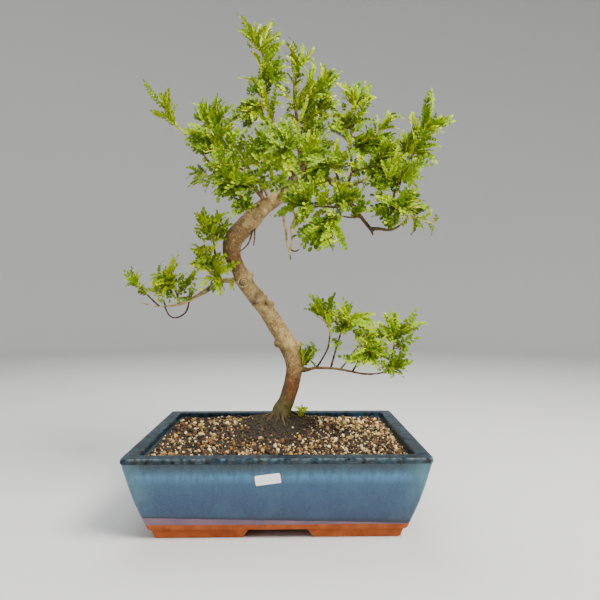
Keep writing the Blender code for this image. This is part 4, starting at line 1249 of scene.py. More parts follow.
LIMBS: dict[str, Limb] = {
    "leader_a": Limb(4.6, 1.5, Wood.LIMB, [(22, -18, 440), (7, -8, 467), (-4, -2, 489), (-9, 2, 510), (-10, 4, 534),
        (-18, 6, 560), (-25, 8, 589), (-24, 10, 618)]),
    "leader_b": Limb(4.2, 1.5, Wood.LIMB, [(25, -18, 441), (32, -10, 466), (31, 0, 488), (27, 8, 513), (23, 14, 543),
        (20, 18, 568), (20, 20, 592)]),
    "leader_c": Limb(3.4, 1.4, Wood.LIMB, [(27, -16, 440), (45, 0, 464), (55, 16, 493), (50, 30, 526),
        (54, 40, 552)]),
    "fork": Limb(3.2, 1.7, Wood.DARK, [(12, -26, 419), (22, -29, 423), (31, -32, 437), (35, -34, 448),
        (39, -34, 460)]),
    "fork_spur": Limb(1.7, 1.0, Wood.DARK, [(18, -29, 419), (18, -33, 430), (17, -33, 443)]),
    "fork_foot": Limb(2.6, 2.2, Wood.DARK, [(20, -28, 422), (13, -25, 413), (12.5, -23, 403)]),
    "dead_left": Limb(2.2, 1.1, Wood.PALE, [(12.5, -23, 405), (6, -27, 396), (6.5, -31, 384), (9, -34, 371),
        (10, -37, 354), (13, -39, 343), (15, -40, 333)]),
    "dead_right": Limb(2.2, 1.6, Wood.PALE, [(12.5, -23, 405), (20, -27, 395), (20, -31, 386), (16, -34, 376),
        (17, -36, 364), (16, -38, 353), (13, -39, 344)]),
    "dead_spur": Limb(1.3, 0.9, Wood.DARK, [(14, -38, 347), (20, -40, 344), (26, -42, 346)]),
    "right_limb": Limb(6.6, 1.2, Wood.FADING, [(22, -18, 438), (47, -26, 445), (67, -34, 438), (81, -40, 423),
        (91, -44, 409), (102, -48, 393), (112, -52, 379), (118, -56, 370), (120, -58, 363)]),
    "right_lower": Limb(2.6, 1.3, Wood.TWIG, [(117, -55, 371), (127, -60, 371), (140, -62, 369), (149, -62, 372),
        (157, -60, 378), (167, -56, 388)]),
    "right_rise": Limb(2.0, 1.2, Wood.TWIG, [(140, -62, 369), (143, -58, 393), (148, -54, 415), (156, -52, 438),
        (165, -52, 457), (177, -52, 473)]),
    "right_fan_left": Limb(1.8, 1.2, Wood.TWIG, [(82, -40, 422), (76, -46, 440), (70, -50, 452)]),
    "right_fan_mid": Limb(2.8, 1.2, Wood.LIMB, [(84, -42, 419), (93, -36, 441), (97, -28, 459), (95, -16, 484),
        (101, -4, 515), (104, 6, 540)]),
    "right_fan_right": Limb(1.8, 1.1, Wood.TWIG, [(96, -32, 450), (109, -20, 472), (121, -6, 496), (132, 4, 510)]),
    "right_fan_front": Limb(1.6, 1.1, Wood.TWIG, [(96, -32, 450), (109, -42, 452), (120, -50, 452)]),
    "right_back": Limb(2.8, 1.2, Wood.LIMB, [(78, -40, 425), (99, -10, 437), (119, 20, 452), (136, 50, 471),
        (146, 66, 490)]),
    "right_twig_high": Limb(1.7, 1.0, Wood.TWIG, [(92, -45, 406), (78, -58, 399), (58, -70, 397), (40, -78, 396)]),
    "right_twig_low": Limb(1.6, 1.0, Wood.TWIG, [(104, -50, 388), (91, -62, 385), (80, -70, 385)]),
    "left_limb": Limb(3.4, 1.1, Wood.LIMB, [(-15, -41, 406), (-27, -50, 419), (-38, -54, 431), (-46, -54, 447),
        (-55, -52, 451), (-70, -46, 450), (-86, -40, 445), (-97, -36, 441)]),
    "left_fork": Limb(1.8, 1.1, Wood.DARK, [(-21, -40, 404), (-32, -52, 401), (-45, -60, 396), (-49, -62, 409),
        (-51, -61, 424)]),
    "left_twig": Limb(1.8, 1.1, Wood.TWIG, [(-20, -38, 405), (-24, -36, 430), (-23, -28, 451), (-24, -20, 466)]),
    "left_back": Limb(2.8, 1.2, Wood.LIMB, [(-10, -34, 408), (-24, -4, 437), (-43, 26, 467), (-60, 50, 500),
        (-70, 62, 520)]),
    "left_rise": Limb(2.0, 1.2, Wood.TWIG, [(-45, -54, 446), (-61, -50, 461), (-72, -44, 480), (-80, -38, 497)]),
    "left_reach": Limb(1.8, 1.1, Wood.TWIG, [(-68, -47, 450), (-89, -40, 459), (-100, -30, 472), (-112, -20, 485)]),
    "back_limb": Limb(3.0, 1.2, Wood.LIMB, [(8, -29, 423), (14, 8, 453), (28, 42, 484), (42, 66, 508)]),
    "front_limb": Limb(2.6, 1.2, Wood.LIMB, [(0, -38, 414), (7, -64, 427), (12, -80, 448), (14, -88, 464)]),
    "lower_left": Limb(4.6, 1.1, Wood.PALE, [(-49, -8, 311), (-62, -8, 307), (-78, -4, 307), (-92, 2, 300),
        (-106, 9, 292), (-119, 16, 285), (-134, 24, 278), (-149, 32, 274), (-167, 40, 272), (-183, 46, 272),
        (-199, 50, 276), (-210, 53, 278)]),
    "loop": Limb(1.3, 1.1, Wood.DARK, [(-128, 21, 280), (-133, 20, 264), (-146, 22, 256), (-158, 28, 259),
        (-167, 39, 271)]),
    "loop_end": Limb(1.3, 1.1, Wood.DARK, [(-166, 40, 271), (-170, 44, 283), (-168, 46, 298)]),
    "left_spike": Limb(1.2, 1.0, Wood.DARK, [(-142, 28, 276), (-147, 22, 291), (-150, 17, 303)]),
    "left_hook": Limb(1.4, 1.1, Wood.TWIG, [(-176, 43, 272), (-190, 48, 284), (-203, 54, 297)]),
    "bend_twig": Limb(2.0, 1.2, Wood.TWIG, [(-80, -3, 306), (-85, -8, 322), (-87, -12, 340), (-89, -14, 358)]),
    "lower_right": Limb(2.8, 1.3, Wood.FADING, [(22, 21, 182), (36, 16, 182), (49, 8, 186), (70, -4, 187),
        (85, -12, 186), (98, -18, 184), (113, -26, 182), (129, -32, 183), (142, -36, 187), (151, -39, 192)]),
    "lower_right_a": Limb(1.4, 1.1, Wood.DARK, [(50, 7, 186), (57, 4, 196), (67, 8, 214), (70, 12, 231)]),
    "lower_right_b": Limb(1.5, 1.1, Wood.DARK, [(70, -4, 187), (74, -8, 203), (78, -12, 219), (82, -16, 233)]),
    "lower_right_c": Limb(1.3, 1.1, Wood.DARK, [(82, -10, 186), (91, -2, 194), (101, 6, 206), (112, 13, 218)]),
    "lower_right_d": Limb(1.3, 1.1, Wood.DARK, [(98, -18, 184), (105, -28, 198), (111, -36, 208)]),
    "lower_right_e": Limb(1.5, 1.2, Wood.DARK, [(140, -36, 187), (147, -38, 203), (150, -40, 218)]),
    "bend_thread": Limb(1.3, 0.9, Wood.DARK, [(-34, -38, 376), (-38, -44, 358), (-43, -48, 349), (-50, -50, 343)]),
    "bend_thread_short": Limb(1.2, 0.9, Wood.DARK, [(-32, -38, 378), (-32, -44, 361), (-33, -47, 351)]),
}


@dataclass(frozen=True)
class Mark:
    """A feature of the bark: its place, its reach and its height in millimetres, and what it paints."""

    place: Spot
    reach: float
    lift: float = 0.0
    rust: float = 0.0
    moss: float = 0.0
    soot: float = 0.0
    shade: float = 0.0


@dataclass
class Tree:
    """Trunk, limbs, twigs, knots and the healed cut.

    Bumps and tones of the bark are rows of a strength, a width and a shift of the noise.
    """

    voxel: float = 1.3
    thick_limb: float = 2.4
    bumps: tuple[Triple, ...] = ((0.75, 17.0, 0.0), (0.46, 5.5, 9.0), (0.22, 2.6, 4.0))
    tones: tuple[Triple, ...] = ((0.2, 9.0, 51.0), (0.1, 3.4, 77.0))
    twig_sides: int = 9
    knots: tuple[tuple[Spot, float, Triple], ...] = (
        ((-33, -7, 279), 6.2, (1, 1, 1)), ((-21, -5, 283), 5.6, (1, 1, 1)), ((-13, 0, 276.5), 5.0, (1.2, 1, 1)),
        ((-3.5, 10, 221), 6.0, (1, 1, 1.2)), ((22, 13, 217), 7.5, (1, 1, 1.3)), ((-42, -9, 314), 6, (1.3, 1, 0.9)),
        ((-52, -32, 378), 7.5, (1, 1, 1)), ((-69, -18, 351), 6, (0.8, 1, 1.5)), ((34, 15, 183), 4.2, (1.5, 1, 1)),
        ((18, 12, 222), 5, (1, 1, 1)), ((-14, -2, 271), 4.6, (1, 1, 1)), ((-20, -46, 392), 5, (1, 1, 1)))
    wound: Spot = (-48.5, -17.5, 305.0)
    wound_radius: float = 6.6
    marks: tuple[Mark, ...] = (
        # Knot pits, sunk and painted near black: partly dark wood, partly painted shade in the hollows; the raised
        # rims beside them are painted paler.
        Mark((-31.5, -11, 285.4), 3.0, -2.2, soot=1.2), Mark((-37.0, -9, 275.8), 2.8, -1.9, soot=1.2),
        Mark((-31.6, -9.5, 276.8), 2.4, -1.6, soot=1.1), Mark((-39.7, -15, 312.9), 2.6, 0.5, shade=0.35),
        Mark((-25, -9, 281), 3.4, 0.4, shade=0.3), Mark((-18.5, -6, 276), 2.2, -1.8, soot=1.1),
        Mark((-13.5, -4, 280), 3.0, 0.2, shade=0.3), Mark((-35, -11, 290), 3.2, 0.3, shade=0.25),
        Mark((24, 3.5, 214.0), 2.2, -1.8, soot=1.0), Mark((-4, 3, 221.1), 3.0, 0.5, soot=0.35),
        Mark((0, 2, 212), 2.6, 0.4, soot=0.4), Mark((4, 4, 204), 2.2, 0.3, soot=0.3),
        Mark((11.3, 12, 171.4), 9.0, 0.0, rust=0.45), Mark((18, 12, 160), 9.0, rust=0.4),
        Mark((14, 12, 145), 10.0, rust=0.45), Mark((4, 12, 128), 14.0, rust=0.4, moss=0.35),
        Mark((-4, 16, 120), 13.0, moss=0.7), Mark((12, 14, 118), 13.0, moss=0.6), Mark((6, 14, 108), 20.0, moss=0.7),
        Mark((3, 40, 116), 18.0, moss=0.6), Mark((-56, -19, 323.5), 5.0, 0.0, soot=0.5),
        Mark((-57, -20, 338), 9.0, rust=0.55), Mark((-48, -30, 362), 8.0, rust=0.3),
        Mark((-45, -42, 372), 3.2, -0.6, soot=0.4), Mark((-30, -48, 386), 2.4, -0.5, soot=0.5),
        Mark((-70, -14, 346), 7.0, soot=0.35), Mark((10, -34, 424), 6.0, soot=0.35),
        Mark((-4, -40, 404), 6.0, soot=0.25, rust=0.2), Mark((26, -22, 441), 8.0, soot=0.3),
        Mark((-103, 4, 294), 7.0, 0.9, soot=0.75, rust=0.2), Mark((-96, 0, 298), 5.0, 0.4, soot=0.6),
        Mark((-82, -4, 306), 4.0, 0.4, soot=0.55), Mark((-138, 26, 277), 3.5, 0.5, rust=0.4),
        Mark((117, -56, 371), 7.0, 0.6, soot=0.5), Mark((14, -38, 346), 4.5, 0.8, soot=0.55),
        Mark((9, -34, 366), 4.0, 0.2, soot=0.4), Mark((18, -35, 372), 3.0, 0.2, soot=0.5),
        Mark((34, 14, 184), 5.0, 0.4, soot=0.35, rust=0.3), Mark((6, -28, 398), 3.0, soot=0.4),
        # The first two paint the bend darker as painted shadow of the crown; the last two paint the low trunk darker.
        Mark((-62, -18, 340), 15.0, shade=-0.34), Mark((-52, -30, 368), 14.0, shade=-0.2),
        Mark((14, 18, 158), 17.0, shade=-0.5), Mark((8, 18, 128), 18.0, shade=-0.44))
    ridges: tuple[Spot, ...] = (
        (-16, -4, 272), (-14.5, -3, 268), (-13, -2, 264), (-11, -1, 259.5), (-52, -24, 344), (-51, -27, 349),
        (-49, -30, 354), (-46, -34, 359))

    def callus(self) -> list[Rung]:
        """Route of the swollen ring round the healed cut, closed on itself.

        Returns:
            Rows of x, y, z and radius in millimetres.
        """
        x, y, z = self.wound
        turns = [math.tau * step / 20 for step in range(23)]
        return [(x + self.wound_radius * math.cos(t), y, z + self.wound_radius * math.sin(t), 2.4) for t in turns]

    def thick_limbs(self) -> list[Limb]:
        """The limbs that melt into the trunk."""
        return [limb for limb in LIMBS.values() if limb.base > self.thick_limb]

    def thick_wood(self) -> Piece:
        """Trunk, thick limbs and knots melted into one skin.

        Returns:
            The wood, its finish and its fine relief still to come.
        """
        stock = Stock()
        stock.add(*sweep(smooth_route(TRUNK, 3.0), 28))
        stock.add(*sweep(np.array(self.callus()), 10))
        for limb in self.thick_limbs():
            stock.add(*sweep(smooth_route(limb.rows(), 2.5), 14))
        points, rows = ball(3)
        for centre, radius, stretch in self.knots:
            stock.add((points * stretch * radius * 0.94 + centre) * MM, rows)
        wood = stock.make("wood", [])
        modify(wood, "REMESH", mode="VOXEL", voxel_size=self.voxel * MM)
        modify(wood, "SMOOTH", factor=0.5, iterations=5)
        return applied(wood)

    def nearest_wood(self, points: Numbers) -> tuple[Numbers, Numbers]:
        """Shade of the nearest wood's bark, and how far round the trunk's lit side a point lies.

        Args:
            points: Points in millimetres.

        Returns:
            The shade and the side, one of each for each point.
        """
        best = np.full(len(points), np.inf)
        shade = np.zeros(len(points))
        side = np.zeros(len(points))
        routes = [(smooth_route(TRUNK, 4.0), Wood.TRUNK)]
        routes += [(smooth_route(limb.rows(), 4.0), limb.wood) for limb in self.thick_limbs()]
        for route, kind in routes:
            gap = np.linalg.norm(points[:, None] - route[None, :, :3], axis=2) - route[None, :, 3]
            index = gap.argmin(axis=1)
            near = gap[np.arange(len(points)), index]
            closer = near < best
            best[closer] = near[closer]
            share = index / (len(route) - 1)
            first, last = kind.value
            shade[closer] = (first + (last - first) * share)[closer]
            off = (points[:, 0] - route[index, 0]) / route[index, 3]
            side[closer] = off[closer]
        return shade, side

    def carve(self, wood: Piece) -> dict[str, Numbers]:
        """Moves the skin's points into bark and works out what to paint on it.

        Args:
            wood: The melted wood.

        Returns:
            The painted numbers by name.
        """
        mesh = wood.data
        points, normals = read(mesh.vertices, "co"), read(mesh.vertices, "normal")
        place = points / MM
        shade, side = self.nearest_wood(place)
        trunk = np.clip((shade - 0.5) * 6, 0.3, 1.0)
        lift = trunk * sum(high * swarm(points, wide * MM, shift) for high, wide, shift in self.bumps)
        shade = shade + trunk * sum(deep * swarm(points, wide * MM, shift) for deep, wide, shift in self.tones)
        paint = {name: np.zeros(len(points)) for name in ("rust", "moss", "soot")}
        for mark in self.marks:
            near = np.exp(-0.5 * (np.linalg.norm(place - mark.place, axis=1) / mark.reach) ** 2)
            ragged = near * (0.75 + 0.5 * swarm(points, 4 * MM, 21.0))
            lift += mark.lift * near
            shade += mark.shade * near
            for name in paint:
                paint[name] += getattr(mark, name) * ragged
        for ridge in self.ridges:
            off = place - ridge
            wave = np.exp(-0.5 * (off[:, 2] / 0.8) ** 2) * np.exp(-0.5 * (off[:, 0] / 6.0) ** 2)
            lift += 0.7 * wave * (normals[:, 1] < 0.2)
            shade += 0.2 * wave * (normals[:, 1] < 0.2)
        off = place - self.wound
        out = np.hypot(off[:, 0], off[:, 2])
        front = (off[:, 1] < 6.0) & (out < self.wound_radius + 3.5)
        wobble = out + 1.3 * swarm(points, 5 * MM, 61.0)
        # Painted shade on the healed cut: a dark crescent sunk into its lower left, and darker troughs between its
        # rings; the ridges of the rings are painted paler.
        rings = np.where(front, np.cos(wobble * math.tau / 3.4) * np.exp(-(out / 8.5) ** 4), 0.0)
        crescent = np.clip((-off[:, 0] - 0.6 * off[:, 2]) / np.maximum(out, 0.5), 0, 1)
        crescent = np.where(front, crescent * np.exp(-0.5 * ((wobble - 4.0) / 1.3) ** 2), 0.0)
        lift += 0.45 * rings - 1.0 * crescent
        shade += 0.25 * rings + 0.15 * front
        paint["soot"] += np.where(front, 0.5 * np.clip(-rings, 0, 1), 0.0) + 0.9 * crescent
        low = np.clip((126 - place[:, 2]) / 16, 0, 1)
        paint["moss"] += low * np.clip(0.5 + 0.9 * swarm(points, 7 * MM, 31.0), 0, 1)
        # The left side of the wood is painted olive: greener, and darker as painted shade on the side away from the
        # key light.
        olive = np.clip(-side * 1.1 - 0.25, 0, 0.55) * np.clip(0.7 + 0.8 * swarm(points, 9 * MM, 14.0), 0, 1)
        paint["moss"] += 0.6 * olive
        shade -= 0.25 * olive
        moved = points + normals * (lift * MM)[:, None]
        mesh.vertices.foreach_set("co", moved.ravel())
        mesh.update()
        paint = {name: np.clip(values, 0.0, 0.92) for name, values in paint.items()}
        paint["tone"] = np.clip(shade, 0.0, 1.0)
        return paint

    def build(self, bark: Material) -> Piece:
        """Makes the wood.

        Args:
            bark: Its material.

        Returns:
            The piece, thick wood and twigs together.
        """
        thick = self.thick_wood()
        paint = self.carve(thick)
        mesh = thick.data
        mesh.calc_loop_triangles()
        stock = Stock()
        stock.add(read(mesh.vertices, "co"), read(mesh.loop_triangles, "vertices", np.int32), **paint)
        bpy.data.objects.remove(thick)
        chance = np.random.default_rng(SEED + 3)
        for limb in LIMBS.values():
            if limb.base > self.thick_limb:
                continue
            route = smooth_route(limb.rows(), 1.6)
            share = np.arange(len(route)) / (len(route) - 1)
            route[:, 3] *= 1.0 + 0.14 * chance.normal(size=len(route)) * (share > 0.05)
            twig, faces = sweep(route, self.twig_sides)
            first, last = limb.wood.value
            along = np.append(np.repeat(share, self.twig_sides), [0.0, 1.0])
            rough = swarm(twig, 6 * MM, 3.0)
            black = np.clip(rough * 1.6 - 0.25, 0, 0.8) if limb.wood in (Wood.PALE, Wood.TWIG) else 0.0
            stock.add(twig, faces, tone=np.clip(first + (last - first) * along + 0.12 * rough, 0, 1),
                      rust=np.clip(-rough * 0.8 - 0.1, 0, 0.4), moss=0.0, soot=black)
        tree = stock.make("tree_wood", [bark])
        return settle(tree, "bark", "tree")


@dataclass(frozen=True)
class Spray:
    """A spray: its limb, how far along it grows, tips of its main leaves and of more leaves, in millimetres."""

    limb: str
    share: float
    tips: list[Spot]
    more: Sequence[Spot] = ()


SPRAYS: dict[str, Spray] = {
    "crown": Spray("leader_a", 1.0, [(-52, 6, 676), (-7, 26, 677), (-27, -12, 651), (1, 8, 634)], [(4, 2, 653),
        (-23, -28, 523), (-2, -28, 531), (-13, -16, 655), (0, -4, 642), (-8, -16, 628), (0, -10, 631), (6, -6, 634),
        (-2, -4, 622)]),
    "crown_side": Spray("leader_a", 0.8, [(-1, -14, 604), (6, -24, 554), (-8, 30, 590)], [(6, -16, 541), (0, -4, 625),
        (9, -22, 584), (-33, 2, 528)]),
    "crown_low": Spray("leader_a", 0.64, [(-64, -16, 527), (-38, 34, 558), (15, 36, 583)], [(-5, -28, 547),
        (-48, -28, 520), (-45, -22, 517), (-34, -28, 517), (-23, -28, 525), (-40, -16, 513), (-32, -16, 513),
        (-56, -16, 521), (-46, -20, 505)]),
    "crown_base": Spray("leader_a", 0.2, [(-34, -30, 493), (-32, 30, 510)], [(-16, -16, 524), (1, -22, 520),
        (-24, -22, 511)]),
    "peak": Spray("leader_b", 1.0, [(39, 28, 644), (3, 14, 650), (26, 46, 640)], [(11, 8, 640), (9, -4, 617),
        (33, -10, 590), (33, -10, 573), (8, 0, 636), (4, 2, 626)]),
    "peak_right": Spray("leader_b", 0.8, [(90, 36, 615), (52, -8, 574), (46, 8, 612)], [(28, -16, 568), (76, 8, 606),
        (67, 2, 595), (33, -10, 582), (80, 6, 604)]),
    "peak_low": Spray("leader_b", 0.57, [(48, 50, 573), (57, -16, 537)], [(25, -16, 560), (9, -16, 546),
        (0, -10, 516)]),
    "rear_top": Spray("leader_c", 1.0, [(84, 58, 588), (35, 76, 578), (86, 92, 574)]),
    "rear_mid": Spray("leader_c", 0.62, [(25, 74, 540), (96, 60, 550), (77, 92, 530)]),
    "dome": Spray("right_fan_mid", 1.0, [(108, 10, 585), (83, -12, 568), (134, 20, 556)], [(83, -10, 565),
        (82, -16, 555)]),
    "dome_front": Spray("right_fan_mid", 0.8, [(72, -44, 514), (130, -30, 522), (95, -50, 528)], [(87, -46, 535)]),
    "dome_low": Spray("right_fan_mid", 0.55, [(126, -50, 482), (76, -74, 448)], [(93, -58, 485), (105, -28, 438),
        (86, -52, 479)]),
    "east_top": Spray("right_fan_right", 1.0, [(161, 18, 546), (144, 46, 537), (164, -8, 516)], [(122, -22, 529)]),
    "east_mid": Spray("right_fan_right", 0.55, [(150, -34, 490), (128, -52, 466)], [(96, -34, 452), (121, -28, 518)]),
    "heart": Spray("right_fan_left", 1.0, [(38, -68, 431), (46, -46, 457), (84, -84, 430)], [(75, -64, 485),
        (82, -82, 462), (91, -76, 439), (83, -82, 445), (91, -76, 449)]),
    "breast": Spray("right_fan_front", 1.0, [(143, -78, 446), (114, -90, 424), (134, -84, 474)], [(96, -76, 447),
        (107, -88, 456), (85, -64, 452), (93, -64, 437), (107, -70, 428)]),
    "rear_east": Spray("right_back", 1.0, [(184, 98, 530), (148, 106, 545), (192, 84, 492)]),
    "rear_east_low": Spray("right_back", 0.6, [(166, 54, 452), (112, 70, 496)], [(114, -16, 433)]),
    "horn": Spray("right_rise", 1.0, [(197, -46, 557), (228, -58, 510), (202, -74, 476)], [(182, -82, 455),
        (188, -82, 505), (190, -70, 542), (213, -70, 510), (196, -76, 517), (223, -64, 507), (204, -76, 495),
        (215, -64, 499), (208, -70, 490), (195, -82, 485), (222, -64, 515)]),
    "horn_side": Spray("right_rise", 0.82, [(180, -26, 528), (208, -40, 459), (157, -88, 487)], [(190, -82, 468),
        (199, -70, 456), (199, -76, 473), (196, -76, 465)]),
    "horn_low": Spray("right_rise", 0.5, [(134, -92, 450), (183, -28, 428), (172, -82, 455)], [(124, -76, 394),
        (110, -64, 427), (115, -70, 421), (121, -76, 412), (121, -76, 404), (117, -52, 394), (120, -60, 425)]),
    "skirt_top": Spray("right_rise", 0.2, [(169, -90, 412), (118, -92, 406), (184, -38, 404)], [(122, -88, 394),
        (135, -100, 402), (148, -100, 381), (129, -94, 374), (141, -100, 393), (155, -94, 416), (115, -64, 414),
        (114, -70, 398), (118, -80, 408), (108, -84, 392)]),
    "skirt": Spray("right_lower", 1.0, [(188, -40, 371), (188, -70, 398), (158, -32, 412)], [(129, -88, 385),
        (123, -64, 399), (122, -70, 391), (147, -94, 379), (147, -94, 372), (155, -94, 385)]),
    "sleeve": Spray("right_twig_high", 1.0, [(22, -96, 410), (40, -100, 374), (14, -64, 396)], [(27, -46, 392),
        (38, -100, 428), (24, -94, 431), (0, -88, 409), (7, -100, 411), (21, -94, 369), (60, -88, 424),
        (60, -100, 414), (67, -94, 415), (2, -88, 402), (-6, -82, 381)]),
    "tassel": Spray("right_twig_low", 1.0, [(33, -92, 348), (82, -60, 352), (60, -100, 378)], [(112, -88, 387),
        (27, -76, 347), (43, -94, 347), (57, -100, 349), (78, -100, 355), (30, -94, 374), (113, -82, 401),
        (29, -76, 354), (39, -76, 347), (50, -94, 345), (62, -100, 344), (107, -70, 413), (105, -82, 403),
        (114, -76, 404), (24, -82, 366), (46, -76, 345), (53, -88, 343), (60, -88, 343), (18, -76, 358)]),
    "cuff": Spray("right_twig_high", 0.45, [(90, -84, 413), (70, -44, 376)], [(106, -88, 402), (96, -94, 418),
        (104, -88, 409), (78, -88, 431), (69, -76, 434), (67, -94, 422), (82, -94, 386), (98, -82, 425),
        (106, -76, 419)]),
    "long_arm": Spray("left_reach", 1.0, [(-188, 2, 585), (-147, -30, 562)], [(-158, -28, 556), (-150, -28, 557),
        (-141, -34, 546), (-141, -34, 538), (-133, -34, 538), (-146, -28, 562)]),
    "west_top": Spray("left_rise", 1.0, [(-104, -36, 541), (-90, -6, 552), (-65, -58, 522)], [(-90, -58, 537),
        (-99, -52, 540), (-52, -58, 499)]),
    "west_side": Spray("left_rise", 0.6, [(-121, -66, 492), (-104, -18, 500), (-48, -80, 498)], [(-48, -76, 478),
        (-43, -46, 501), (-44, -58, 492), (-122, -70, 495), (-118, -70, 480)]),
    "west_low": Spray("left_limb", 0.97, [(-116, -22, 448), (-95, -56, 424)], [(-93, -64, 469), (-83, -70, 465),
        (-96, -70, 457)]),
    "west_front": Spray("left_limb", 0.55, [(-64, -86, 422), (-82, -86, 470)], [(-39, -82, 415), (-26, -76, 419),
        (-14, -58, 420), (-40, -76, 414), (-48, -70, 408), (-13, -70, 443), (-36, -70, 413), (-88, -70, 450),
        (-88, -70, 442)]),
    "rear_west": Spray("left_back", 1.0, [(-114, 98, 563), (-77, 104, 570), (-118, 78, 518)], [(-53, 38, 531)]),
    "rear_west_low": Spray("left_back", 0.66, [(-26, 74, 524), (-94, 66, 478)], [(-52, 26, 519)]),
    "hip": Spray("left_fork", 1.0, [(-66, -88, 408), (-32, -84, 415), (-48, -94, 452)], [(-35, -88, 441),
        (-21, -70, 435), (-47, -88, 397), (-30, -88, 428), (-52, -82, 388), (-44, -82, 388), (-30, -88, 414),
        (-27, -88, 422), (-53, -94, 395), (-21, -64, 437), (-27, -88, 409), (-27, -88, 402), (-35, -88, 394),
        (-27, -88, 394), (-56, -88, 387), (-49, -88, 387), (-42, -88, 387), (-35, -88, 387), (-56, -88, 381),
        (-40, -88, 398)]),
    "collar": Spray("left_twig", 1.0, [(-33, 4, 500), (5, -58, 448)], [(-21, -64, 444), (-14, -64, 437),
        (-6, -52, 416)]),
    "nape": Spray("back_limb", 1.0, [(65, 106, 552), (14, 102, 556), (88, 100, 500)]),
    "nape_low": Spray("back_limb", 0.6, [(60, 66, 452), (-17, 70, 486)]),
    "chest": Spray("front_limb", 1.0, [(-14, -110, 440), (38, -110, 476), (19, -114, 430)], [(-9, -58, 448),
        (3, -76, 421), (9, -100, 502), (-21, -76, 416), (-10, -88, 411), (-15, -88, 421), (-5, -94, 417),
        (5, -100, 421), (2, -100, 500), (-5, -100, 493), (-6, -82, 492)]),
    "throat": Spray("fork", 1.0, [(34, -28, 504), (60, -58, 466)], [(1, -40, 427)]),
    "arm_end": Spray("left_hook", 1.0, [(-232, 58, 326), (-208, 68, 320)], [(-200, 20, 298), (-195, 20, 303)]),
    "arm_mid": Spray("loop_end", 1.0, [(-166, 46, 331), (-178, 10, 295), (-184, 78, 321)], [(-201, 32, 295),
        (-160, 14, 278)]),
    "arm_in": Spray("lower_left", 0.62, [(-110, 4, 325), (-123, 0, 294)], [(-142, -10, 277), (-122, -16, 282),
        (-115, -4, 303), (-116, 2, 311), (-113, -10, 294)]),
    "arm_spike": Spray("left_spike", 1.0, [(-154, -14, 304), (-135, 2, 335)], [(-176, -10, 289), (-157, -16, 281),
        (-166, -8, 279), (-148, -10, 277), (-178, -10, 302), (-170, -10, 286), (-118, 14, 303)]),
    "elbow": Spray("bend_twig", 1.0, [(-102, -24, 407), (-69, -40, 382)], [(-62, -34, 373), (-74, -46, 358),
        (-97, -46, 355), (-67, -34, 315), (-67, -40, 359), (-60, -28, 365), (-115, -34, 346), (-71, -28, 397),
        (-70, -34, 388), (-63, -28, 318), (-66, -40, 395)]),
    "elbow_low": Spray("bend_twig", 0.5, [(-104, -32, 336), (-80, -46, 354)], [(-92, -46, 353), (-118, -28, 349),
        (-73, -10, 294), (-69, -40, 340)]),
    "armpit": Spray("lower_left", 0.22, [(-66, -46, 338), (-88, -36, 318), (-50, -38, 330)], [(-103, -40, 292),
        (-75, -34, 288), (-59, -40, 293), (-80, -34, 286), (-61, -46, 322), (-77, -40, 340), (-79, -28, 286),
        (-69, -46, 332)]),
    "trunk_shoot": Spray("lower_right", 0.07, [(31, 30, 207), (44, 36, 198)], [(41, -22, 198)]),
    "hand_left": Spray("lower_right_a", 1.0, [(40, 24, 291), (70, 12, 284)], [(45, 8, 284), (39, 14, 287),
        (42, 8, 278)]),
    "hand_mid": Spray("lower_right_b", 1.0, [(96, -34, 276), (121, -18, 251), (71, -52, 267)], [(63, -46, 239),
        (83, -52, 235), (76, -46, 216), (66, -46, 221), (103, -40, 270)]),
    "hand_back": Spray("lower_right_c", 1.0, [(134, 28, 234), (108, 30, 258)]),
    "hand_in": Spray("lower_right_d", 1.0, [(130, -62, 216), (91, -50, 200)], [(76, -46, 208), (90, -64, 202),
        (106, -76, 198), (147, -58, 216), (85, -58, 201), (97, -70, 198), (122, -70, 195)]),
    "hand_right": Spray("lower_right_e", 1.0, [(137, -40, 265), (163, -58, 257), (191, -28, 250), (182, -46, 231)], [
        (153, -76, 218), (137, -70, 225), (159, -70, 217), (168, -64, 209), (133, -52, 262)]),
    "hand_low": Spray("lower_right", 0.97, [(151, -62, 194), (176, -16, 196)], [(124, -70, 192), (144, -70, 215),
        (167, -46, 221), (151, -76, 208), (146, -64, 217), (153, -64, 217), (167, -70, 202), (172, -60, 203)]),
}


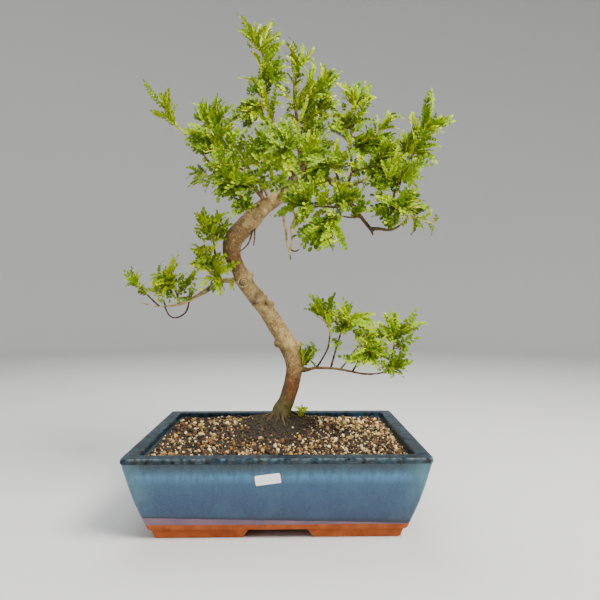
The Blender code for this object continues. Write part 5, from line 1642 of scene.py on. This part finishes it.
class LeafletForms:
    """Ready-made closed leaflets, folded and curled by different amounts."""

    stations = ((0.19, 0.58), (0.55, 1.0), (0.87, 0.78))
    breadth = 0.285
    thickness = 0.034

    def __init__(self, count: int) -> None:
        """Makes a number of forms.

        Args:
            count: How many.
        """
        chance = np.random.default_rng(SEED + 4)
        self.rows = self.triangles()
        self.forms = [self.form(chance) for _ in range(count)]
        self.along = np.array([0.0] + [s for s, _ in self.stations for _ in range(4)] + [1.0])
        self.across = np.array([0.0] + [-1.0, 0.0, 0.0, 1.0] * len(self.stations) + [0.0])
        self.under = np.array([0.5] + [0.5, 0.0, 1.0, 0.5] * len(self.stations) + [0.5])

    def triangles(self) -> Numbers:
        """Triangles of the upper side, and of the lower side turned over; both share the rim.

        Returns:
            Rows of point numbers.
        """
        left, top, below, right = (1 + 4 * np.arange(len(self.stations)) + k for k in range(4))
        tip = 1 + 4 * len(self.stations)
        sides = []
        for middle in (top, below):
            rows = [(0, left[0], middle[0]), (0, middle[0], right[0]), (left[-1], tip, middle[-1]),
                    (middle[-1], tip, right[-1])]
            for a, b in ((left, middle), (middle, right)):
                for k in range(len(self.stations) - 1):
                    rows += [(a[k], a[k + 1], b[k + 1]), (a[k], b[k + 1], b[k])]
            sides.append(np.array(rows))
        return np.vstack([sides[0], sides[1][:, ::-1]])

    def form(self, chance: Chance) -> Numbers:
        """Points of one leaflet of length one along x, its upper side up z.

        Args:
            chance: Source of its random draws.

        Returns:
            Its points.
        """
        fold, arch = chance.uniform(0.15, 0.55), chance.uniform(0.02, 0.12)
        droop, lean = chance.uniform(0.0, 0.16), chance.uniform(-0.05, 0.05)

        def spot(s: float, v: float, lift: float) -> Spot:
            """One point, raised by its fold and the leaflet's arch."""
            bow = arch * 4 * s * (1 - s) - droop * s * s
            return s, v * self.breadth + lean * s * s, bow + fold * abs(v) * self.breadth + lift

        half = self.thickness / 2
        points = [spot(0.0, 0.0, 0.0)]
        for s, width in self.stations:
            points += [spot(s, -width, 0.0), spot(s, 0.0, half), spot(s, 0.0, -half), spot(s, width, 0.0)]
        points.append(spot(chance.uniform(0.97, 1.0), 0.0, 0.0))
        return np.array(points)


class Frond:
    """One compound leaf: a stalk with pairs of leaflets and a last one.

    Ranges are of a leaflet's length in millimetres, the first pair's place along the stalk, the gap between pairs in
    leaflets, the count of pairs, and the angles in degrees by which leaflets are raised and turned to the tip.
    """

    sizes = (6.2, 7.9)
    starts = (0.10, 0.21)
    gaps = (0.56, 0.66)
    pairs = (3, 9)
    cups = (8, 44)
    swings = (32, 50)

    def __init__(self, base: Numbers, tip: Numbers, lean: Numbers, age: float, chance: Chance) -> None:
        """Shapes the leaf's stalk.

        Args:
            base: Where the stalk starts, in millimetres.
            tip: Where the last leaflet ends, in millimetres.
            lean: The direction in which the stalk leaves the stem.
            age: From 0, young, to 1, old.
            chance: Source of its random draws.
        """
        self.age, self.chance = age, chance
        span = tip - base
        self.length = float(np.linalg.norm(span))
        along = span / self.length
        rise = lean - along * (lean @ along)
        outward = unit(np.array([tip[0], tip[1], 1e-6]))
        face = np.array([0.0, -0.75, 0.5]) + 0.5 * outward + 0.6 * chance.uniform(-1, 1, 3)
        self.side = unit(np.cross(along, face))
        up = np.cross(self.side, along)
        bend = up * chance.uniform(0.06, 0.20) + rise * 0.14
        self.base, self.tip = base, tip
        self.middle = base + span * 0.5 + bend * self.length

    def place(self, t: Numbers) -> Numbers:
        """Points of the stalk's curve at shares of its length."""
        return bow(self.base, self.middle, self.tip, np.asarray(t)[:, None])

    def heading(self, t: float) -> Numbers:
        """Direction of the stalk's curve at a share of its length."""
        slope = (self.middle - self.base) * (1 - t) + (self.tip - self.middle) * t
        return slope / np.linalg.norm(slope)

    def grow(self, stock: Stock, forms: LeafletForms) -> None:
        """Adds the stalk and the leaflets to a spray.

        Args:
            stock: The spray's bodies.
            forms: The ready-made leaflets.
        """
        chance = self.chance
        size = chance.uniform(*self.sizes) * min(1.0, self.length / 30) ** 0.6
        end = 1.0 - min(0.32, 0.92 * size / self.length)
        shares = np.linspace(0.0, end, 5)
        thick = 0.55 + 0.2 * min(1.0, self.length / 50)
        route = np.column_stack([self.place(shares), np.linspace(thick, 0.4, 5)])
        points, rows = sweep(route, 3)
        stock.add(points, rows, 1, age=np.clip(self.age * 0.4 + chance.uniform(-0.1, 0.12), 0, 1), along=0.0,
                  across=0.0, under=0.0)
        start = chance.uniform(*self.starts)
        room = (end - start) * self.length / (size * chance.uniform(*self.gaps))
        pairs = int(np.clip(round(room), *self.pairs))
        young = max(0.0, 0.45 - self.age)
        cup = math.radians(chance.uniform(*self.cups) + 30 * young)
        swing = math.radians(chance.uniform(*self.swings) + 12 * young)
        for number in range(pairs):
            share = start + (end - start) * number / pairs
            swell = 0.80 + 0.24 * math.sin(math.pi * (number + 0.8) / (pairs + 0.7))
            for hand in (-1, 1):
                where = share + chance.uniform(-0.01, 0.01)
                self.leaflet(stock, forms, where, hand, size * swell * chance.uniform(0.92, 1.08), cup, swing)
        self.leaflet(stock, forms, end, 0, size * chance.uniform(0.9, 1.05), 0.0, math.pi / 2)

    def leaflet(self, stock: Stock, forms: LeafletForms, share: float, hand: int, size: float, cup: float,
                swing: float) -> None:
        """Adds one leaflet.

        Args:
            stock: The spray's bodies.
            forms: The ready-made leaflets.
            share: Where it stands along the stalk.
            hand: Its side of the stalk, or 0 for the last.
            size: Its length in millimetres.
            cup: How far it is raised from the leaf's plane.
            swing: How far it turns towards the tip.
        """
        chance = self.chance
        along = self.heading(share)
        up = np.cross(self.side, along)
        raised = self.side * (hand * math.cos(cup)) + up * math.sin(cup)
        x = raised * math.cos(swing) + along * math.sin(swing) if hand else along + 0.1 * chance.normal(size=3)
        x = x + 0.09 * chance.normal(size=3)
        x /= np.linalg.norm(x)
        normal = up * math.cos(cup) - self.side * (hand * math.sin(cup)) + 0.14 * chance.normal(size=3)
        z = normal - x * (normal @ x)
        z /= np.linalg.norm(z)
        frame = np.stack([x, np.cross(z, x), z])
        form = forms.forms[int(chance.integers(len(forms.forms)))]
        points = (form * (size, size * chance.uniform(0.92, 1.16), size)) @ frame + self.place([share])[0]
        age = float(np.clip(self.age + chance.normal() * 0.07, 0, 1))
        stock.add(points * MM, forms.rows, 0, age=age, along=forms.along, across=forms.across, under=forms.under)


@dataclass(frozen=True)
class Habit:
    """How a spray grows: leaves round its stem, side shoots, leaves on its limb, and their ages and lengths."""

    step: float = 0.28
    bare: float = 0.1
    brush: int = 13
    shoots: int = 4
    shoot_leaves: int = 3
    dress: int = 0
    youth: float = 0.0
    lengths: Pair = (26.0, 48.0)
    spread: Pair = (0.35, 1.1)
    lift: float = 0.06


@dataclass
class Foliage:
    """Every leafy spray, each a stem with side shoots and compound leaves.

    Names in low, pale, sparse and plumes are of sprays, or how those start, that hang low, are pale, have few leaves
    or are long and thin.
    """

    end_share: float = 0.62
    end_reach: Pair = (30.0, 58.0)
    leaf_reach: Pair = (12.0, 62.0)
    stem_share: float = 0.32
    spare: float = 8.0
    loose: float = 18.0
    near: float = 18.0
    dress_from: float = 385.0
    low: tuple[str, ...] = ("arm", "hand", "elbow", "tassel", "skirt")
    pale: tuple[str, ...] = ("arm", "elbow")
    dress_leaves: int = 5
    sparse: tuple[str, ...] = ("west_low", "skirt", "hand_low", "arm_end", "arm_mid", "armpit", "arm_in", "east_top")
    plumes: tuple[str, ...] = ("crown", "peak", "long_arm", "horn", "arm_end", "east_top", "rear_west", "hand_left")
    golden: float = math.radians(137.5)
    shoot_reach: Pair = (14.0, 32.0)
    shoot_spread: Pair = (0.6, 1.1)
    dress_spread: Pair = (0.6, 1.3)
    high: float = 480.0
    sprout_foot: Spot = (29.0, 22.0, 110.0)
    sprout_tips: tuple[Spot, ...] = ((29.0, 23.0, 135.0), (39.0, 18.0, 129.0), (20.0, 14.0, 130.0))

    @staticmethod
    def along_route(route: Numbers, share: float) -> tuple[Numbers, float, Numbers]:
        """The point, radius and direction at a share of a route's length.

        Args:
            route: Rows of x, y, z and radius.
            share: From 0 at its foot to 1 at its end.

        Returns:
            The point, the radius and the direction.
        """
        steps = np.linalg.norm(np.diff(route[:, :3], axis=0), axis=1)
        left = share * steps.sum()
        for i, length in enumerate(steps):
            if left <= length or i == len(steps) - 1:
                t = min(left / length, 1.0)
                spot = route[i] + (route[i + 1] - route[i]) * t
                return spot[:3], float(spot[3]), unit((route[i + 1] - route[i])[:3])
            left -= length
        raise ValueError("a route needs two points")

    def stem(self, name: str) -> tuple[Numbers, Numbers, Numbers]:
        """A spray's stem as a route, the tips of its leaves, and the stretch of limb round its foot.

        Args:
            name: The spray.

        Returns:
            The route, the tips and the stretch of limb.
        """
        spray = SPRAYS[name]
        share, tips = spray.share, np.array(spray.tips, float)
        goal, twig = tips[0], np.array(LIMBS[spray.limb].rows())
        spot, radius, heading = self.along_route(twig, share)
        base = spot
        if share < 1.0:
            out = goal - spot
            out -= heading * (out @ heading)
            heading = out / np.linalg.norm(out)
            base = spot + heading * radius
        shifts = (-0.14, -0.05, 0.05, 0.14) if share < 1.0 else (-0.5, -0.33, -0.16, 0.0)
        stretch = [self.along_route(twig, min(max(share + shift, 0.05), 1.0))[0] for shift in shifts]
        return self.bent(base, heading, goal, self.stem_share), tips, np.array(stretch)

    def bent(self, base: Numbers, heading: Numbers, goal: Numbers, stem_share: float) -> Numbers:
        """A stem that leaves along its heading and bends towards its first leaf's tip.

        Args:
            base: Where it leaves the wood.
            heading: Its direction there.
            goal: The tip of its first leaf.
            stem_share: Its least share of the way.

        Returns:
            Rows of x, y, z and radius in millimetres.
        """
        distance = np.linalg.norm(goal - base)
        reach = min(max(self.end_share * distance, self.end_reach[0]), self.end_reach[1])
        length = max(distance - reach, stem_share * distance)
        toward = unit((goal - base) / distance * 0.8 + heading * 0.2)
        end = base + toward * length
        lead = base + heading * 0.4 * length
        route = [(*(base - heading * 1.2), 1.15)]
        for t in (0.0, 0.25, 0.5, 0.75, 1.0):
            route.append((*bow(base, lead, end, t), 1.1 - 0.35 * t))
        return smooth_route(route, 2.0)

    def outward(self, heading: Numbers, number: int, chance: Chance, spread: Pair,
                lift: float) -> Numbers:
        """Direction of the next leaf round a stem.

        Args:
            heading: Direction of the stem.
            number: Which leaf it is; each stands a golden angle on from the last.
            chance: Source of its random draws.
            spread: Least and greatest angle from the stem, in radians.
            lift: How far it is turned upwards.

        Returns:
            A vector of length one.
        """
        guide = np.cross(heading, (0.2, 0.3, 0.9))
        guide /= np.linalg.norm(guide)
        other = np.cross(heading, guide)
        turn = self.golden * number + chance.uniform(-0.4, 0.4)
        off = chance.uniform(*spread)
        way = heading * math.cos(off) + (guide * math.cos(turn) + other * math.sin(turn)) * math.sin(off)
        way = way + (0.0, 0.0, lift)
        return way / np.linalg.norm(way)

    def add_stem(self, stock: Stock, route: Numbers, old: float, sides: int) -> None:
        """Adds a green stem that gets younger towards its tip.

        Args:
            stock: The spray's bodies.
            route: The stem.
            old: Age of its foot, from 0 to 1.
            sides: Corners of its section.
        """
        points, rows = sweep(route, sides)
        share = np.append(np.repeat(np.arange(len(route)) / len(route), sides), [0, 1])
        stock.add(points, rows, 1, age=np.clip(old - 0.5 * share, 0, 1), along=0.0, across=0.0, under=0.0)

    def spray(self, node: str, route: Numbers, tips: Numbers, more: Sequence[Spot], limb: Numbers, habit: Habit,
              chance: Chance, forms: LeafletForms, coats: list[Material]) -> None:
        """Makes one spray.

        Args:
            node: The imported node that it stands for.
            route: Its stem.
            tips: Where its main leaves end.
            more: Where further leaves end.
            limb: Points of the limb near its foot.
            habit: How it grows.
            chance: Source of its random draws.
            forms: The ready-made leaflets.
            coats: Materials of leaflets and stalks.
        """
        stock = Stock()
        low, high = (np.array(corner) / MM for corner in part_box(node))
        low, high = low - self.spare, high + self.spare
        self.add_stem(stock, route, 0.85, 8)
        shortest, longest = habit.lengths

        starts = [self.along_route(route, max(0.0, 1.0 - habit.step * number))[0] for number in range(len(tips))]
        bones = np.vstack([route[:, :3], limb] + [start + (tip - start) * share for start, tip in zip(starts, tips)
                                                  for share in (0.35, 0.7, 1.0)])

        def leaf(spot: Numbers, goal: Numbers, heading: Numbers, least: float, most: float,
                 loose: float = 0.0) -> None:
            """Adds one leaf from a spot towards a goal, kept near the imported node.

            Args:
                spot: Where it starts, in millimetres.
                goal: Where it is to end.
                heading: Direction of its stem.
                least: Its least length.
                most: Its greatest length.
                loose: How far past the node's box it may reach.
            """
            if not loose:
                back = bones[np.linalg.norm(bones - goal, axis=1).argmin()] - goal
                goal = goal + back * max(0.0, 1.0 - self.near / max(float(np.linalg.norm(back)), 1e-6))
            span = np.clip(goal, low - loose, high + loose) - spot
            length = min(max(float(np.linalg.norm(span)), least), most)
            age = chance.uniform(0.1, 0.95) - habit.youth - 0.25 * max(0.0, (spot[2] - self.high) / 200)
            Frond(spot, spot + unit(span) * length, heading, age, chance).grow(stock, forms)

        def free_leaf(spot: Numbers, way: Numbers, heading: Numbers, loose: float = 0.0) -> None:
            """Adds one leaf that points a way from a spot, as long as the habit has it."""
            goal = spot + way * chance.uniform(shortest, longest)
            leaf(spot, goal, heading, 0.7 * shortest, longest, loose)

        for number, tip in enumerate(tips):
            spot, _, heading = self.along_route(route, max(0.0, 1.0 - habit.step * number))
            leaf(spot, tip, heading, *self.leaf_reach)
        for number in range(habit.brush):
            share = (number + chance.random()) / habit.brush
            spot, _, heading = self.along_route(route, habit.bare + (0.98 - habit.bare) * share)
            free_leaf(spot, self.outward(heading, number, chance, habit.spread, habit.lift), heading)
        for number in range(habit.shoots):
            spot, _, heading = self.along_route(route, chance.uniform(habit.bare + 0.1, 0.9))
            way = self.outward(heading, 2 * number, chance, self.shoot_spread, habit.lift)
            end = np.clip(spot + way * chance.uniform(*self.shoot_reach), low, high)
            lead = (spot + end) / 2 + heading * 3
            arc = [bow(spot, lead, end, t) for t in (0.0, 0.33, 0.67, 1.0)]
            shoot = smooth_route([(*point, 0.85 - 0.09 * i) for i, point in enumerate(arc)], 3.0)
            self.add_stem(stock, shoot, 0.5, 5)
            for place in range(habit.shoot_leaves):
                point, _, along = self.along_route(shoot, 1.0 - 0.3 * place)
                spread = (0.1, 0.4) if place == 0 else (0.5, 1.0)
                free_leaf(point, self.outward(along, place + number, chance, spread, habit.lift), along)
        for number in range(habit.dress):
            place = chance.uniform(0, len(limb) - 1.001)
            point = limb[int(place)] + (limb[int(place) + 1] - limb[int(place)]) * (place % 1)
            along = unit(limb[-1] - limb[0])
            way = self.outward(along, number, chance, self.dress_spread, habit.lift)
            free_leaf(point, way, along, self.loose)
        wood = np.vstack([route[:, :3], limb])
        for tip in np.array(more, float):
            away = np.linalg.norm(wood - tip, axis=1)
            near = wood[np.where(away > shortest, away, np.inf).argmin()]
            leaf(near, tip, unit(tip - near), *self.leaf_reach, 2 * self.loose)
        piece = stock.make("leaves_" + node.removeprefix("spray_"), coats)
        piece.data.set_sharp_from_angle(angle=math.radians(100))
        settle(piece, "young_leaf" if node == "sprout" else "leaf", node)

    def build(self, leaf: Material, fresh: Material, stalk: Material) -> None:
        """Makes every spray and the sprout in the soil.

        Args:
            leaf: Material of leaflets.
            fresh: Material of the sprout's leaflets.
            stalk: Material of stems and stalks.
        """
        forms = LeafletForms(14)
        for number, name in enumerate(SPRAYS):
            chance = np.random.default_rng(SEED + 100 + number)
            route, tips, limb = self.stem(name)
            dress = self.dress_leaves if route[0][2] > self.dress_from else 0
            youth = 0.25 if name.startswith(self.pale) else 0.0
            habit = Habit(dress=dress, youth=youth, lift=-0.2 if name.startswith(self.low) else 0.06)
            if name in self.sparse:
                habit = Habit(brush=5, shoots=1, youth=youth, lengths=(20.0, 36.0), lift=-0.1)
            elif name == "long_arm":
                habit = Habit(bare=0.5, brush=5, shoots=1, youth=0.2, lengths=(22.0, 40.0), spread=(0.1, 0.45))
            elif name in self.plumes:
                habit = Habit(brush=7, shoots=2, dress=dress, youth=0.15, lengths=(28.0, 50.0), spread=(0.2, 0.7))
            self.spray("spray_" + name, route, tips, SPRAYS[name].more, limb, habit, chance, forms, [leaf, stalk])
        chance = np.random.default_rng(SEED + 99)
        tips = np.array(self.sprout_tips)
        route = self.bent(np.array(self.sprout_foot), np.array([0.0, 0.0, 1.0]), tips[0], 0.58)
        habit = Habit(step=0.12, brush=5, shoots=0, youth=0.5, lengths=(11.0, 17.0), spread=(0.5, 1.2))
        self.spray("sprout", route, tips, (), route[:, :3], habit, chance, forms, [fresh, stalk])


@dataclass(frozen=True)
class Lamp:
    """A square soft light: its place and size in metres, its power in watts and its colour."""

    name: str
    place: Spot
    size: float
    power: float
    colour: Colour


@dataclass
class Studio:
    """Camera, soft lights and a pale floor that curves up all round."""

    lamps: tuple[Lamp, ...] = (Lamp("key", (1.0, -0.9, 1.6), 0.9, 96.0, (1.0, 0.97, 0.92)),
                               Lamp("fill", (-1.4, -0.9, 0.9), 1.3, 10.0, (0.92, 0.96, 1.0)),
                               Lamp("top", (-0.2, 0.7, 1.9), 1.2, 32.0, (1.0, 1.0, 1.0)))
    aim: Spot = (0.0, 0.0, 0.3)
    sky: Colour = (0.86, 0.92, 1.0)
    sky_strength: float = 0.6
    eye: Spot = (0.0143, -0.736, 0.2738)
    yaw: float = math.radians(1.06)
    pitch: float = math.radians(0.54)
    lens: float = 31.98
    floor_radius: float = 2.6
    floor_bend: float = 0.9
    wall_height: float = 4.5

    def camera(self) -> None:
        """Sets the camera at the photograph's viewpoint."""
        data = bpy.data.cameras.new("view")
        data.lens = self.lens
        data.sensor_width = 36.0
        data.clip_start = 0.01
        camera = placed("view", data)
        camera.location = self.eye
        camera.rotation_euler = (math.pi / 2 + self.pitch, 0.0, -self.yaw)
        bpy.context.scene.camera = camera

    def floor(self) -> None:
        """Makes the floor and its soft wall as one turned sheet."""
        profile = [(0.0, 0.0), (self.floor_radius, 0.0)]
        bend = self.floor_bend
        for step in range(1, 13):
            turn = step / 12 * math.pi / 2
            profile.append((self.floor_radius + bend * math.sin(turn), bend * (1 - math.cos(turn))))
        profile.append((self.floor_radius + bend, self.wall_height))
        shape = bmesh.new()
        verts = [shape.verts.new((r, 0.0, z)) for r, z in profile]
        edges = [shape.edges.new(pair) for pair in zip(verts, verts[1:])]
        bmesh.ops.spin(shape, geom=verts + edges, cent=(0, 0, 0), axis=(0, 0, 1), angle=math.tau, steps=96,
                       use_merge=True)
        bmesh.ops.remove_doubles(shape, verts=shape.verts[:], dist=1e-5)
        sheet = from_bmesh("floor_sweep", shape)
        if sheet.data.polygons[0].normal.z < 0:
            sheet.data.flip_normals()
        sheet.data.shade_smooth()
        wires, shader, made = principled("floor_paper")
        tooth = wires.add("TexNoise", {"Vector": wires.place(), "Scale": 600.0})
        colour = wires.mix(tooth.outputs[0], ink(196, 196, 194), ink(202, 202, 200))
        join(wires, shader, Base_Color=colour)
        shader.inputs["Roughness"].default_value = 0.85
        sheet.data.materials.append(made)

    def light(self, lamp: Lamp) -> None:
        """Adds one soft light aimed at the tree.

        Args:
            lamp: The light.
        """
        data = bpy.data.lights.new(lamp.name, "AREA")
        data.size, data.energy, data.color = lamp.size, lamp.power, lamp.colour
        made = placed(lamp.name, data)
        made.location = lamp.place
        made.rotation_euler = (Vector(self.aim) - Vector(lamp.place)).to_track_quat("-Z", "Y").to_euler()

    def build(self) -> None:
        """Sets up the whole studio."""
        self.camera()
        self.floor()
        for lamp in self.lamps:
            self.light(lamp)
        world = bpy.data.worlds.new("studio")
        world.use_nodes = True
        backdrop = world.node_tree.nodes["Background"]
        backdrop.inputs["Color"].default_value = (*self.sky, 1.0)
        backdrop.inputs["Strength"].default_value = self.sky_strength
        bpy.context.scene.world = world


def main() -> None:
    """Builds the studio and every piece."""
    logging.basicConfig(level=logging.INFO, format="%(name)s: %(message)s")
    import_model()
    effects = Effects()
    Studio().build()
    bark = BarkFinish().material(effects)
    Tray().build(GlazeFinish().material(effects))
    Label().build(LabelFinish().material(effects))
    Screens().build(MeshFinish().material(effects))
    earth = StoneFinish("dark_earth", ((0.0, 11, 8, 5), (0.5, 22, 15, 8), (1.0, 40, 28, 15)))
    pumice = StoneFinish("pale_pumice", ((0.0, 150, 118, 64), (0.5, 206, 176, 108), (1.0, 244, 228, 180)))
    tan = StoneFinish("tan_clay", ((0.0, 58, 35, 15), (0.5, 92, 60, 28), (1.0, 150, 106, 46)))
    lava = StoneFinish("dark_lava", ((0.0, 15, 11, 7), (0.5, 34, 25, 15), (1.0, 70, 52, 28)))
    mossy = StoneFinish("moss_fibre", ((0.0, 30, 22, 9), (0.45, 48, 44, 13), (0.8, 78, 76, 22), (1.0, 106, 74, 28)))
    soil = Soil()
    soil.bed(earth.material(effects))
    soil.scatter({"pumice_granules": pumice.material(effects), "clay_granules": tan.material(effects),
                  "lava_granules": lava.material(effects)})
    soil.moss(mossy.material(effects))
    soil.rootlets(bark)
    Tree().build(bark)
    leaf = LeafFinish("pepper_leaf", ((0.0, 162, 180, 0), (0.3, 132, 162, 0), (0.6, 100, 136, 0), (1.0, 64, 96, 0)))
    fresh = LeafFinish("fresh_leaf", ((0.0, 186, 206, 8), (0.5, 136, 172, 0), (1.0, 90, 128, 0)))
    Foliage().build(leaf.material(effects), fresh.material(effects), ShootFinish().material(effects))


if __name__ == "__main__":
    main()
